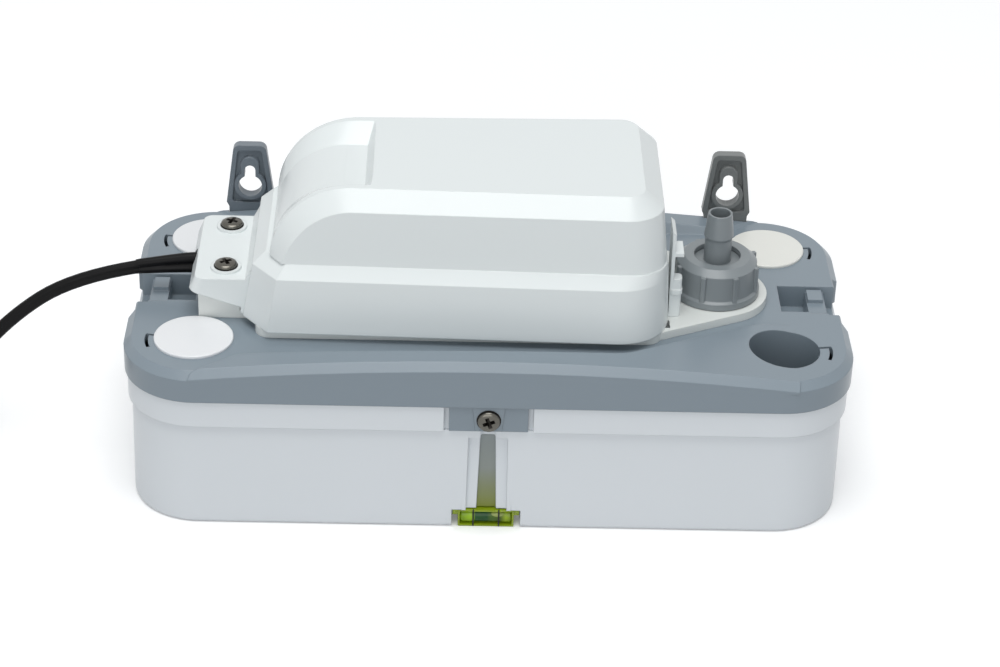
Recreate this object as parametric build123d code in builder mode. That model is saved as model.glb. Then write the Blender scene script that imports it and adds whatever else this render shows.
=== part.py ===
from build123d import *
import math
import os

# Condensate pump for refrigeration and ventilation drains.
# Frame: X along the tank, Y from front to back, Z up. The origin is under the middle of the tank,
# on the surface that it stands on. Millimetres.

# ---- driving dimensions -------------------------------------------------------------------
# overall
TANK_LENGTH = 280.0
TANK_WIDTH = 130.0
RIM_TOP = 56.0              # where the lid sits on the reservoir
DECK_TOP = 68.5             # lid's flat top
COVER_RISE = 57.8           # motor cover's height above the base plate
# reservoir
WALL = 2.5
FLOOR = 3.0
RIM_BAND = 11.5             # height of the thicker band round the rim
RIM_PROUD = 1.5
BAND_INSET = 1.0            # rim band inside the lid's skirt
FOOT_INSET = 4.0            # the tank is narrower at its foot
CORNER_R = 29.0
LEVEL_SLOT = 13.3           # half-width of the slot for the spirit level
LEVEL_SLOT_TOP = 8.0
GROOVE_TOP = 41.0
GROOVE_HALF = 7.5
GROOVE_DEPTH = 1.2
CHANNEL_HALF = 2.8
CHANNEL_FOOT = 3.9
TAB_GAP = 2.0
# lid
LID_PLATE = 3.0
CROWN = 6.2                 # rise of the long edges at mid-length
CROWN_FROM_END = 23.0       # the crown runs out this far from the ends
LID_BEVEL = 3.0
LID_LIP = 6.0
LIP_CLEAR = 0.5
TAB_HALF = 15.0
TAB_DEPTH = 11.0
PAD = 0.5
INLET_FROM_END = 27.0       # inlet centres from the lid's ends and sides
INLET_FROM_SIDE = 26.1
INLET_R = 13.68
INLET_WALL = 2.0
INLET_DEPTH = 26.0
SLIT = 1.3                  # slit of the bayonet catch beside each inlet
CAP_R = 15.2
CAP_PLATE = 1.2
CAP_CLEAR = 0.3
CAP_PLUG = 8.0
# wall hangers
HANGER_FROM_END = 42.0
HANGER_TOP = 100.0
HANGER_HALF_TOP = 6.5
HANGER_HALF = 9.85
HANGER_FOOT = 50.0
HANGER_THICK = 4.0
KEYHOLE_Z = 82.0
KEYHOLE_R = 4.8
KEYSLOT_HALF = 2.2
KEYSLOT_TOP = 91.3
# pump module
BASE_THICK = 3.5
MOTOR_X = 15.0
OUTLET_X = 88.9
SHAFT_R = 3.0
RUNNING = 0.05              # radial clearance of a running fit
FIT = 0.02                  # radial clearance of a pressed or moulded-in fit
STACK = 22.0                # stator stack height
STACK_FOOT = 14.0           # stack's underside above the base plate
ROTOR_R = 15.4
AIR_GAP = 0.5
FAN_R = 22.0
BLADES = 7
IMPELLER_R = 19.0
VANES = 6
VOLUTE_FLOOR = 7.0          # underside of the volute above the tank's foot
VOLUTE_HEIGHT = 15.0
COLUMN_R = 11.0
RISER_R = 8.5
RISER_BORE = 6.0
# outlet
BOSS_R = 12.5
BOSS_HEIGHT = 11.0
BOSS_BORE = 7.0
NUT_R = 15.3
NUT_FLANGE_R = 16.4
NUT_HOLE_R = 9.1
NUT_HEIGHT = 15.9
NUT_RIBS = 8
BARB_TIP_Z = 106.5
BARB_BORE = 3.9
BALL_R = 4.6
# motor cover
COVER_WALL = 2.2
COVER_X0 = -91.0            # left edge at the shoulder
COVER_X1 = 68.9
COVER_HALF = 41.3           # half-width at the foot, above x = -20
COVER_TAPER = 0.028         # growth of the half-width per mm of x
SHOULDER_Z = 23.0           # above the base plate
SHOULDER_RISE = 5.0
SHOULDER_STEP = 4.2
TOP_CHAMFER = 6.8
NOSE_R = 32.0
RECESS_X = -48.5
RECESS_DEPTH = 5.8
NECK_X = -115.0
NECK_HALF = 25.5
NECK_TOP = 15.0             # above the base plate
SCREW_X = -102.0
SCREW_Y = 16.2
# float
FLOAT_X = -68.0
FLOAT_TRAVEL = 12.0
ROD_R = 2.5
# cord
CORD_D = 5.5
COIL_R = 31.5
COIL_LAYERS = 3
PLUG_LENGTH = 34.0

# ---- worked-out places -----------------------------------------------------------------------
HALF_L = TANK_LENGTH / 2
HALF_W = TANK_WIDTH / 2
DECK_UNDER = DECK_TOP - LID_PLATE
CROWN_HALF_SPAN = HALF_L - CROWN_FROM_END
INLET_X = HALF_L - INLET_FROM_END
INLET_Y = HALF_W - INLET_FROM_SIDE
HANGER_X = HALF_L - HANGER_FROM_END
CROWN_R = (CROWN_HALF_SPAN**2 + CROWN**2) / (2 * CROWN)
CROWN_TOP = DECK_TOP + CROWN
BASE_Z = DECK_TOP + BASE_THICK            # base plate's top: foot of the motor cover
COVER_TOP = BASE_Z + COVER_RISE
STACK_Z = BASE_Z + STACK_FOOT
INNER_L = HALF_L - BAND_INSET - RIM_PROUD - WALL
INNER_W = HALF_W - BAND_INSET - RIM_PROUD - WALL
VOLUTE_TOP = VOLUTE_FLOOR + VOLUTE_HEIGHT


def save(part, name):
    part.label = name
    export_step(part, f"parts/{name}.step")


os.makedirs("parts", exist_ok=True)


def along_arc(radius, start, end, width):
    """A ring sector of the given mid radius and width, as a sketch face, angles in degrees."""
    with BuildSketch(mode=Mode.PRIVATE) as sector:
        with BuildLine():
            outer = CenterArc((0, 0), radius + width / 2, start, end - start)
            inner = CenterArc((0, 0), radius - width / 2, start, end - start)
            Line(outer @ 0, inner @ 0)
            Line(outer @ 1, inner @ 1)
        make_face()
    return sector.sketch


# ---- reservoir ---------------------------------------------------------------------------------
BAND_L = HALF_L - BAND_INSET
BAND_W = HALF_W - BAND_INSET
BODY_L = BAND_L - RIM_PROUD
BODY_W = BAND_W - RIM_PROUD
FOOT_L = HALF_L - FOOT_INSET
FOOT_W = HALF_W - FOOT_INSET
BAND_Z = RIM_TOP - RIM_BAND
TAB_Z = RIM_TOP - TAB_DEPTH
TAB_FACE = BAND_W                    # the tabs lie flush with the rim band
TAB_THICK = 2.2
SCREW_Z = 50.1
SCREW_R = 2.0
BOSS_DEEP = 9.0
LEVEL_BACK = FOOT_W - 8.5            # the level's slot ends here
HANGER_BACK = HALF_W
HANGER_FRONT = HANGER_BACK - HANGER_THICK
HANGER_CLEAR = 0.25
HANGER_FOOT_HALF = HANGER_HALF - 1.0

with BuildPart() as reservoir:
    with BuildSketch():
        RectangleRounded(2 * FOOT_L, 2 * FOOT_W, CORNER_R - FOOT_INSET)
    with BuildSketch(Plane.XY.offset(BAND_Z)):
        RectangleRounded(2 * BODY_L, 2 * BODY_W, CORNER_R - BAND_INSET - RIM_PROUD)
    loft(ruled=True)
    fillet(reservoir.edges().group_by(Axis.Z)[0], radius=5)
    with BuildSketch(Plane.XY.offset(BAND_Z)):
        RectangleRounded(2 * BAND_L, 2 * BAND_W, CORNER_R - BAND_INSET)
    extrude(amount=RIM_BAND)
    with BuildSketch(Plane.XY.offset(FLOOR)):
        RectangleRounded(2 * (FOOT_L - WALL), 2 * (FOOT_W - WALL), CORNER_R - FOOT_INSET - WALL)
    with BuildSketch(Plane.XY.offset(RIM_TOP)):
        RectangleRounded(2 * (BODY_L - WALL), 2 * (BODY_W - WALL), CORNER_R - BAND_INSET - RIM_PROUD - WALL)
    loft(ruled=True, mode=Mode.SUBTRACT)
    # thickening behind the level slot and the groove
    with BuildSketch(Plane.XY.offset(FLOOR / 2)):
        with Locations((0, -(FOOT_W + LEVEL_BACK) / 2 + 1)):
            Rectangle(2 * LEVEL_SLOT + 5, FOOT_W - LEVEL_BACK + 2)
    extrude(amount=LEVEL_SLOT_TOP + 1)
    with BuildSketch(Plane.XY.offset(FLOOR)):
        with Locations((0, -(BODY_W - WALL - 0.5))):
            Rectangle(2 * GROOVE_HALF + 4, 4)
    extrude(amount=GROOVE_TOP)
    # screw bosses behind the two lid tabs
    for side in (-1, 1):
        with BuildSketch(Plane.XZ.offset(-side * (BODY_W - BOSS_DEEP))):
            with Locations((0, SCREW_Z)):
                SlotCenterToCenter(6, 7, rotation=90)
        extrude(amount=-side * (BOSS_DEEP - 1))
    # seats of the lid tabs in the rim band
    for side in (-1, 1):
        with BuildSketch(Plane.XY.offset(TAB_Z - 0.5)):
            with Locations((0, side * (TAB_FACE - TAB_THICK - 0.1 + 5))):
                Rectangle(2 * (TAB_HALF + TAB_GAP), 10)
        extrude(amount=RIM_TOP, mode=Mode.SUBTRACT)
        with BuildSketch(Plane.XZ.offset(-side * HALF_W)):
            with Locations((0, SCREW_Z)):
                Circle(SCREW_R + FIT)
        extrude(amount=side * (BOSS_DEEP + 2.5), mode=Mode.SUBTRACT)
    # slot for the spirit level, and the sight groove above it
    with BuildSketch(Plane.XY):
        with Locations((0, -(LEVEL_BACK + 6))):
            Rectangle(2 * LEVEL_SLOT, 12)
    extrude(amount=LEVEL_SLOT_TOP, mode=Mode.SUBTRACT)
    with BuildSketch(Plane.XZ.offset(BODY_W + 1)):
        with BuildLine():
            Polyline(
                (-GROOVE_HALF - 0.4, LEVEL_SLOT_TOP - 2),
                (GROOVE_HALF + 0.4, LEVEL_SLOT_TOP - 2),
                (GROOVE_HALF, GROOVE_TOP),
                (-GROOVE_HALF, GROOVE_TOP),
                close=True,
            )
        make_face()
    extrude(amount=FOOT_W - GROOVE_DEPTH - BODY_W - 1, mode=Mode.SUBTRACT)
    with BuildSketch(Plane.XZ.offset(BODY_W + 1)):
        with BuildLine():
            Polyline(
                (-CHANNEL_FOOT, LEVEL_SLOT_TOP - 2),
                (CHANNEL_FOOT, LEVEL_SLOT_TOP - 2),
                (CHANNEL_HALF, GROOVE_TOP + 4),
                (-CHANNEL_HALF, GROOVE_TOP + 4),
                close=True,
            )
        make_face()
    extrude(amount=FOOT_W - 2 * GROOVE_DEPTH - BODY_W - 1, mode=Mode.SUBTRACT)
    # pockets for the feet of the hangers
    with BuildSketch(Plane.XY.offset(HANGER_FOOT)):
        with Locations((-HANGER_X, HANGER_BACK), (HANGER_X, HANGER_BACK)):
            Rectangle(2 * (HANGER_FOOT_HALF + HANGER_CLEAR), 2 * (HANGER_THICK + 0.1))
    extrude(amount=RIM_TOP, mode=Mode.SUBTRACT)
save(reservoir.part, "reservoir")

# ---- lid -----------------------------------------------------------------------------------------
SKIRT = 2.5
END_STEP = 2.4                       # the ends step in behind the wall clips
END_HALF = 17.0
SOCKET_X0 = HALF_L - 25.3
SOCKET_X1 = HALF_L - 14.0
SOCKET_HALF = 10.0
SOCKET_FLOOR = 59.0
STRIP_INNER = HALF_W - 18.0          # inner foot of the crowned strips
STRIP_END = HALF_L - 28.0
STRIP_SLOPE = 40.0
PLATFORM_X = HALF_L - 36.0           # inner corner of the open inlet's platform
PLATFORM_Y = 45.0 - HALF_W
PUMP_X0 = -84.0
PUMP_X1 = 66.0
PUMP_HALF = 30.0
LIP_L = BODY_L - WALL - LIP_CLEAR
LIP_W = BODY_W - WALL - LIP_CLEAR
INLETS = [(-INLET_X, -INLET_Y), (INLET_X, -INLET_Y), (INLET_X, INLET_Y), (-INLET_X, INLET_Y)]
ARC_CENTRE_Z = CROWN_TOP - CROWN_R

with BuildPart() as raised_plan:
    # plan of what stands above the deck: two long strips, and the platform of the open inlet
    with BuildSketch(Plane.XY.offset(DECK_TOP - 1)) as raised:
        with BuildLine():
            Polyline(
                (HALF_L + 20, -HALF_W - 15),
                (HALF_L + 20, PLATFORM_Y),
                (PLATFORM_X, PLATFORM_Y),
                (50, -STRIP_INNER),
                (-STRIP_END + 16, -STRIP_INNER - 3),
                (-STRIP_END, -HALF_W + 3),
                (-STRIP_END - 8, -HALF_W - 15),
                close=True,
            )
        make_face()
        fillet(raised.vertices().filter_by(lambda v: -60 < v.Y < 0 and v.X < 120), radius=14)
        with BuildLine():
            Polyline(
                (-STRIP_END - 8, HALF_W + 15),
                (-STRIP_END, HALF_W - 3),
                (-STRIP_END + 16, STRIP_INNER + 3),
                (STRIP_END - 16, STRIP_INNER + 3),
                (STRIP_END, HALF_W - 3),
                (STRIP_END + 8, HALF_W + 15),
                close=True,
            )
        make_face()
    extrude(amount=CROWN + 3, taper=STRIP_SLOPE)
    # down past the lid's bevel, so that the strips' fronts run into its flanks
    extrude(raised.sketch, amount=-LID_BEVEL)

with BuildPart() as strips:
    # the long edges rise in one shallow arc: their section turns about a far axis below
    for side in (-1, 1):
        inner = 15 if side < 0 else 40
        with BuildSketch(Plane.YZ):
            with BuildLine():
                Polyline(
                    (side * HALF_W, RIM_TOP + 2),
                    (side * HALF_W, CROWN_TOP - LID_BEVEL),
                    (side * (HALF_W - LID_BEVEL), CROWN_TOP),
                    (side * inner, CROWN_TOP),
                    (side * inner, RIM_TOP + 2),
                    close=True,
                )
            make_face()
        turn = math.degrees(math.asin(CROWN_HALF_SPAN / CROWN_R))
        revolve(axis=Axis((0, 0, ARC_CENTRE_Z), (0, 1, 0)), revolution_arc=turn)
    mirror(about=Plane.YZ)
    add(raised_plan.part, mode=Mode.INTERSECT)

with BuildPart() as lid:
    with BuildSketch(Plane.XY.offset(RIM_TOP)):
        RectangleRounded(TANK_LENGTH, TANK_WIDTH, CORNER_R)
    extrude(amount=DECK_TOP - RIM_TOP)
    chamfer(lid.edges().group_by(Axis.Z)[-1], length=LID_BEVEL)
    add(strips.part)
    # hollow underside
    with BuildSketch(Plane.XY.offset(RIM_TOP)):
        RectangleRounded(2 * (HALF_L - SKIRT), 2 * (HALF_W - SKIRT), CORNER_R - SKIRT)
    extrude(amount=DECK_UNDER - RIM_TOP, mode=Mode.SUBTRACT)
    # lip that keys into the reservoir, open at the screw bosses
    with BuildSketch(Plane.XY.offset(RIM_TOP - LID_LIP)):
        RectangleRounded(2 * LIP_L, 2 * LIP_W, CORNER_R - HALF_L + LIP_L)
        RectangleRounded(2 * (LIP_L - 2), 2 * (LIP_W - 2), CORNER_R - HALF_L + LIP_L - 2, mode=Mode.SUBTRACT)
        with Locations((0, -LIP_W), (0, LIP_W)):
            Rectangle(2 * (TAB_HALF + TAB_GAP), 14, mode=Mode.SUBTRACT)
    extrude(amount=LID_LIP + DECK_UNDER - RIM_TOP)
    # tabs that come down over the rim, with the tapered pad of the lid screw
    for side in (-1, 1):
        with BuildSketch(Plane.XY.offset(TAB_Z)):
            with Locations((0, side * (TAB_FACE - TAB_THICK / 2))):
                Rectangle(2 * TAB_HALF, TAB_THICK)
        extrude(amount=RIM_TOP - TAB_Z + 1)
        with BuildSketch(Plane.XZ.offset(-side * TAB_FACE)):
            with BuildLine():
                Polyline((-6.2, RIM_TOP), (6.2, RIM_TOP), (5.0, TAB_Z + 0.5), (-5.0, TAB_Z + 0.5), close=True)
            make_face()
        extrude(amount=-side * PAD)
        with BuildSketch(Plane.XZ.offset(-side * (HALF_W + 1))):
            with Locations((0, SCREW_Z)):
                Circle(SCREW_R + FIT)
        extrude(amount=side * 6, mode=Mode.SUBTRACT)
    # inlets: a tube below each, and the curved slit of its bayonet catch
    with BuildSketch(Plane.XY.offset(DECK_UNDER - INLET_DEPTH)):
        with Locations(*INLETS):
            Circle(INLET_R + INLET_WALL)
    extrude(amount=INLET_DEPTH + 1)
    with BuildSketch(Plane.XY.offset(DECK_UNDER - INLET_DEPTH - 1)):
        with Locations(*INLETS):
            Circle(INLET_R)
    extrude(amount=INLET_DEPTH + LID_PLATE + CROWN + 2, mode=Mode.SUBTRACT)
    slit_r = INLET_R + 4.3
    catch = along_arc(slit_r, -22, 8, SLIT)
    for x, y in INLETS:
        outward = 0 if x > 0 else 180
        with BuildSketch(Plane.XY.offset(DECK_UNDER - 1)):
            with Locations(Location((x, y, 0), (0, 0, outward))):
                add(catch if x > 0 else catch.mirror(Plane.XZ))
                with Locations(Location((0, 0, 0), (0, 0, 8 if x > 0 else -8))):
                    with Locations((slit_r - 2.2, 0)):
                        Rectangle(5.2, SLIT)
        extrude(amount=LID_PLATE + 4, mode=Mode.SUBTRACT)
    # opening for the pump, and the slot for its riser
    with BuildSketch(Plane.XY.offset(DECK_UNDER - 1)):
        with Locations(((PUMP_X0 + PUMP_X1) / 2, 0)):
            RectangleRounded(PUMP_X1 - PUMP_X0, 2 * PUMP_HALF, 8)
        with Locations(((PUMP_X1 + OUTLET_X) / 2, 0)):
            SlotCenterPoint((0, 0), ((OUTLET_X - PUMP_X1) / 2, 0), 2 * (RISER_R + 1))
    extrude(amount=LID_PLATE + 2, mode=Mode.SUBTRACT)
    # ends: stepped-in flank, clip socket, its bridge and the outer notch
    for side in (-1, 1):
        with BuildSketch(Plane.XY.offset(RIM_TOP - 1)):
            with BuildLine():
                Polyline(
                    (side * (HALF_L + 2), -END_HALF - END_STEP - 2),
                    (side * (HALF_L - END_STEP), -END_HALF),
                    (side * (HALF_L - END_STEP), END_HALF),
                    (side * (HALF_L + 2), END_HALF + END_STEP + 2),
                    close=True,
                )
            make_face()
        extrude(amount=DECK_TOP - RIM_TOP + 3, mode=Mode.SUBTRACT)
        # walls of the socket, then its hollow
        with BuildSketch(Plane.XY.offset(SOCKET_FLOOR - 2)):
            with Locations((side * (SOCKET_X0 - 2 + HALF_L - END_STEP) / 2, 0)):
                Rectangle(HALF_L - END_STEP - SOCKET_X0 + 2, 2 * SOCKET_HALF + 8)
        extrude(amount=DECK_TOP - SOCKET_FLOOR + 1)
        with BuildSketch(Plane.XY.offset(SOCKET_FLOOR)):
            with Locations((side * (SOCKET_X0 + SOCKET_X1) / 2, 0)):
                Rectangle(SOCKET_X1 - SOCKET_X0, 2 * SOCKET_HALF)
        extrude(amount=DECK_TOP, mode=Mode.SUBTRACT)
        with BuildSketch(Plane.XY.offset(DECK_TOP - 2.5)):
            with Locations((side * (SOCKET_X1 + 4), -0.5)):
                Rectangle(8.2, 2 * SOCKET_HALF + 1)
        extrude(amount=5, mode=Mode.SUBTRACT)
        with BuildSketch(Plane.XY.offset(SOCKET_FLOOR - 0.5)):
            with Locations((side * (HALF_L - 3.4), -1)):
                Rectangle(6.8, 2 * SOCKET_HALF + 2)
        extrude(amount=DECK_TOP, mode=Mode.SUBTRACT)
        with BuildSketch(Plane.XY.offset(DECK_TOP - 3)):
            with Locations((side * (SOCKET_X1 + 3.3), SOCKET_HALF / 2)):
                Rectangle(6, SOCKET_HALF - 2)
        extrude(amount=2.2)
        with BuildSketch(Plane.XY.offset(RIM_TOP)):
            with Locations((side * (SOCKET_X1 - 1.5), -SOCKET_HALF + 3.6)):
                Rectangle(3, 6.5)
        extrude(amount=DECK_TOP - RIM_TOP, mode=Mode.SUBTRACT)
    # notches for the hangers in the back edge
    with BuildSketch(Plane.XY.offset(RIM_TOP - LID_LIP - 1)):
        with Locations((-HANGER_X, HANGER_BACK), (HANGER_X, HANGER_BACK)):
            Rectangle(2 * (HANGER_FOOT_HALF + HANGER_CLEAR), 2 * (HANGER_THICK + HANGER_CLEAR))
    extrude(amount=LID_LIP + CROWN_TOP, mode=Mode.SUBTRACT)
save(lid.part, "lid")

# ---- lid screws: pan heads outside the tabs ------------------------------------------------------
HEAD_R = 4.3
HEAD_H = 2.0
for name, side in (("lid_screw_front", -1), ("lid_screw_back", 1)):
    with BuildPart() as screw:
        with BuildSketch(Plane.XZ.offset(-side * (TAB_FACE + PAD))):
            with Locations((0, SCREW_Z)):
                Circle(HEAD_R)
        extrude(amount=-side * HEAD_H)
        fillet(screw.edges().sort_by(Axis.Y)[0 if side < 0 else -1], radius=HEAD_H * 0.7)
        with BuildSketch(Plane.XZ.offset(-side * (TAB_FACE + PAD))):
            with Locations((0, SCREW_Z)):
                Circle(SCREW_R)
        extrude(amount=side * (BOSS_DEEP + 1))
    save(screw.part, name)

# ---- spirit level --------------------------------------------------------------------------------
LEVEL_HALF = 11.0
LEVEL_H = 7.5
LEVEL_FRONT = FOOT_W - 0.4
VIAL_R = 2.6
with BuildPart() as level:
    with BuildSketch(Plane.YZ.offset(-LEVEL_HALF)):
        with Locations((-(LEVEL_FRONT + LEVEL_BACK + 0.3) / 2, LEVEL_H / 2)):
            Rectangle(LEVEL_FRONT - LEVEL_BACK - 0.3, LEVEL_H)
    extrude(amount=2 * LEVEL_HALF)
    fillet(level.edges().filter_by(Axis.X).group_by(Axis.Z)[-1], radius=2.2)
    with BuildSketch(Plane.XY.offset(3.5)):
        with Locations((0, -(LEVEL_FRONT + LEVEL_BACK + 0.3) / 2)):
            Rectangle(2 * (LEVEL_SLOT - 0.4), LEVEL_FRONT - LEVEL_BACK - 1.5)
    extrude(amount=1.8)
    with BuildSketch(Plane.YZ.offset(-LEVEL_HALF + 1)):
        with Locations((-(LEVEL_FRONT + LEVEL_BACK) / 2, LEVEL_H / 2)):
            Circle(VIAL_R + FIT)
    extrude(amount=2 * LEVEL_HALF - 2, mode=Mode.SUBTRACT)
save(level.part, "spirit_level")

with BuildPart() as vial:
    with BuildSketch(Plane.YZ.offset(-LEVEL_HALF + 1 + FIT)):
        with Locations((-(LEVEL_FRONT + LEVEL_BACK) / 2, LEVEL_H / 2)):
            Circle(VIAL_R)
    extrude(amount=2 * (LEVEL_HALF - 1 - FIT))
save(vial.part, "level_liquid")

# ---- wall hangers --------------------------------------------------------------------------------
HANGER_SHOULDER = 74.0
for name, x in (("hanger_left", -HANGER_X), ("hanger_right", HANGER_X)):
    with BuildPart() as hanger:
        with BuildSketch(Plane.XZ.offset(-HANGER_BACK)) as plate:
            with BuildLine():
                Polyline(
                    (x - HANGER_FOOT_HALF, HANGER_FOOT + HANGER_CLEAR),
                    (x + HANGER_FOOT_HALF, HANGER_FOOT + HANGER_CLEAR),
                    (x + HANGER_FOOT_HALF, HANGER_SHOULDER - 2),
                    (x + HANGER_HALF, HANGER_SHOULDER),
                    (x + HANGER_HALF_TOP, HANGER_TOP),
                    (x - HANGER_HALF_TOP, HANGER_TOP),
                    (x - HANGER_HALF, HANGER_SHOULDER),
                    (x - HANGER_FOOT_HALF, HANGER_SHOULDER - 2),
                    close=True,
                )
            make_face()
            fillet(plate.vertices().group_by(Axis.Y)[-1], radius=3)
        extrude(amount=HANGER_THICK)
        # the plate's middle is sunk, which leaves a rim round its edge
        with BuildSketch(Plane.XZ.offset(-HANGER_FRONT)) as sunk:
            with BuildLine():
                Polyline(
                    (x - HANGER_HALF + 2.2, HANGER_SHOULDER),
                    (x + HANGER_HALF - 2.2, HANGER_SHOULDER),
                    (x + HANGER_HALF_TOP - 1.6, HANGER_TOP - 2.4),
                    (x - HANGER_HALF_TOP + 1.6, HANGER_TOP - 2.4),
                    close=True,
                )
            make_face()
            fillet(sunk.vertices(), radius=1.5)
        extrude(amount=-1.6, mode=Mode.SUBTRACT)
        # raised collar round the keyhole
        with BuildSketch(Plane.XZ.offset(-HANGER_FRONT + 0.8)):
            with Locations((x, KEYHOLE_Z)):
                Circle(KEYHOLE_R + 1.7)
            with Locations((x, (KEYHOLE_Z + KEYSLOT_TOP) / 2)):
                SlotOverall(KEYSLOT_TOP - KEYHOLE_Z + 2 * KEYSLOT_HALF + 3, 2 * KEYSLOT_HALF + 3, rotation=90)
        extrude(amount=-2.6)
        with BuildSketch(Plane.XZ.offset(-HANGER_BACK - 1)):
            with Locations((x, KEYHOLE_Z)):
                Circle(KEYHOLE_R)
            with Locations((x, (KEYHOLE_Z + KEYSLOT_TOP) / 2)):
                SlotOverall(KEYSLOT_TOP - KEYHOLE_Z, 2 * KEYSLOT_HALF, rotation=90)
        extrude(amount=HANGER_THICK + 4, mode=Mode.SUBTRACT)
    save(hanger.part, name)

# ---- inlet caps ----------------------------------------------------------------------------------
CAPS = {
    "cap_front_left": (-INLET_X, -INLET_Y),
    "cap_back_left": (-INLET_X, INLET_Y),
    "cap_back_right": (INLET_X, INLET_Y),
}
for name, place in CAPS.items():
    with BuildPart() as cap:
        with BuildSketch(Plane.XY.offset(DECK_TOP)):
            with Locations(place):
                Circle(CAP_R)
        extrude(amount=CAP_PLATE)
        fillet(cap.edges().group_by(Axis.Z)[-1], radius=0.5)
        with BuildSketch(Plane.XY.offset(DECK_TOP)):
            with Locations(place):
                Circle(INLET_R - CAP_CLEAR)
                Circle(INLET_R - CAP_CLEAR - 1.6, mode=Mode.SUBTRACT)
        extrude(amount=-CAP_PLUG)
    save(cap.part, name)

# ---- pump base plate -----------------------------------------------------------------------------
BASE_X0 = -90.0
BASE_X1 = COVER_X1 - 3.0
BASE_HALF = 37.5
NECK_BOX_X = NECK_X + 2.6
NECK_BOX_HALF = 23.0
NECK_EDGE_OUT = 9.5                  # neck's lower edge above the base plate, at its outer end
NECK_EDGE_IN = 2.8                   # and where it meets the cover
NECK_ROOT = -96.0
TONGUE_R = 20.5
POST_R = 5.0
POST_Y = 25.5
BOLT_R = 1.8
GUIDE_R = 5.0
GUIDE_TOP = BASE_Z + 4.5
SHAFT_HOLE = 7.0
CORD_Z = BASE_Z + 7.8
CORD_HOLE = 5.2
SKIRT_DEEP = 5.0
CLIP_FOOT = (67.2, -27.0)            # pocket for the foot of the cover's catch

with BuildPart() as base:
    with BuildSketch(Plane.XY.offset(DECK_TOP)) as plan:
        with Locations(((BASE_X0 + BASE_X1) / 2, 0)):
            RectangleRounded(BASE_X1 - BASE_X0, 2 * BASE_HALF, 6)
        with Locations((OUTLET_X, 0)):
            Circle(TONGUE_R)
        with BuildLine():
            lean = math.atan2(BASE_HALF, OUTLET_X - BASE_X1 + 8)
            reach = math.hypot(BASE_HALF, OUTLET_X - BASE_X1 + 8)
            swing = math.degrees(lean + math.acos(TONGUE_R / reach))
            touch = (
                OUTLET_X - TONGUE_R * math.cos(math.radians(swing)),
                TONGUE_R * math.sin(math.radians(swing)),
            )
            Polyline(
                (BASE_X1 - 8, -BASE_HALF),
                (touch[0], -touch[1]),
                touch,
                (BASE_X1 - 8, BASE_HALF),
                close=True,
            )
        make_face()
        with Locations(((NECK_BOX_X + BASE_X0) / 2 + 2, 0)):
            Rectangle(BASE_X0 - NECK_BOX_X + 4, 2 * NECK_BOX_HALF)
    extrude(amount=BASE_THICK)
    # locating skirt inside the lid's opening
    with BuildSketch(Plane.XY.offset(DECK_TOP - SKIRT_DEEP)):
        with Locations(((PUMP_X0 + PUMP_X1) / 2, 0)):
            RectangleRounded(PUMP_X1 - PUMP_X0 - 0.8, 2 * PUMP_HALF - 0.8, 7.6)
            RectangleRounded(PUMP_X1 - PUMP_X0 - 4.8, 2 * PUMP_HALF - 4.8, 5.6, mode=Mode.SUBTRACT)
        with Locations((PUMP_X1, 0)):
            Rectangle(8, 2 * RISER_R + 4, mode=Mode.SUBTRACT)
    extrude(amount=SKIRT_DEEP)
    # wedge under the cover's neck, which carries the neck screws and the cord
    with BuildSketch(Plane.XZ.offset(-NECK_BOX_HALF)):
        with BuildLine():
            Polyline(
                (NECK_BOX_X, BASE_Z - 0.5),
                (NECK_BOX_X, BASE_Z + NECK_EDGE_OUT - 1.2),
                (NECK_ROOT - 0.5, BASE_Z + NECK_EDGE_IN - 0.1),
                (NECK_ROOT - 0.5, BASE_Z - 0.5),
                close=True,
            )
        make_face()
    extrude(amount=2 * NECK_BOX_HALF)
    # motor posts, outlet boss and float guide
    with BuildSketch(Plane.XY.offset(BASE_Z)):
        with Locations((MOTOR_X, -POST_Y), (MOTOR_X, POST_Y)):
            Circle(POST_R)
    extrude(amount=8)
    with BuildSketch(Plane.XY.offset(BASE_Z)):
        with Locations((OUTLET_X, 0)):
            Circle(BOSS_R)
    extrude(amount=BOSS_HEIGHT)
    with BuildSketch(Plane.XY.offset(DECK_TOP - 4)):
        with Locations((FLOAT_X, 0)):
            Circle(GUIDE_R)
    extrude(amount=GUIDE_TOP - DECK_TOP + 4)
    with BuildSketch(Plane.XY.offset(DECK_TOP - 6)):
        with Locations((FLOAT_X, 0)):
            Circle(ROD_R + RUNNING)
        with Locations((MOTOR_X, 0)):
            Circle(SHAFT_HOLE)
        with Locations((OUTLET_X, 0)):
            Circle(RISER_BORE)
        with Locations(CLIP_FOOT):
            Rectangle(4.5, 6)
    extrude(amount=30, mode=Mode.SUBTRACT)
    with BuildSketch(Plane.XY.offset(BASE_Z)):
        with Locations((OUTLET_X, 0)):
            Circle(BOSS_BORE)
    extrude(amount=BOSS_HEIGHT + 1, mode=Mode.SUBTRACT)
    with BuildSketch(Plane.XY.offset(BASE_Z + 2)):
        with Locations((MOTOR_X, -POST_Y), (MOTOR_X, POST_Y)):
            Circle(BOLT_R + FIT)
    extrude(amount=10, mode=Mode.SUBTRACT)
    with BuildSketch(Plane.XY.offset(BASE_Z + 0.5)):
        with Locations((SCREW_X, -SCREW_Y), (SCREW_X, SCREW_Y)):
            Circle(SCREW_R + FIT)
    extrude(amount=12, mode=Mode.SUBTRACT)
    with BuildSketch(Plane.YZ.offset(NECK_BOX_X - 1)):
        with Locations((0, CORD_Z)):
            Circle(CORD_HOLE)
    extrude(amount=NECK_ROOT - NECK_BOX_X + 4, mode=Mode.SUBTRACT)
save(base.part, "pump_base")

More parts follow.
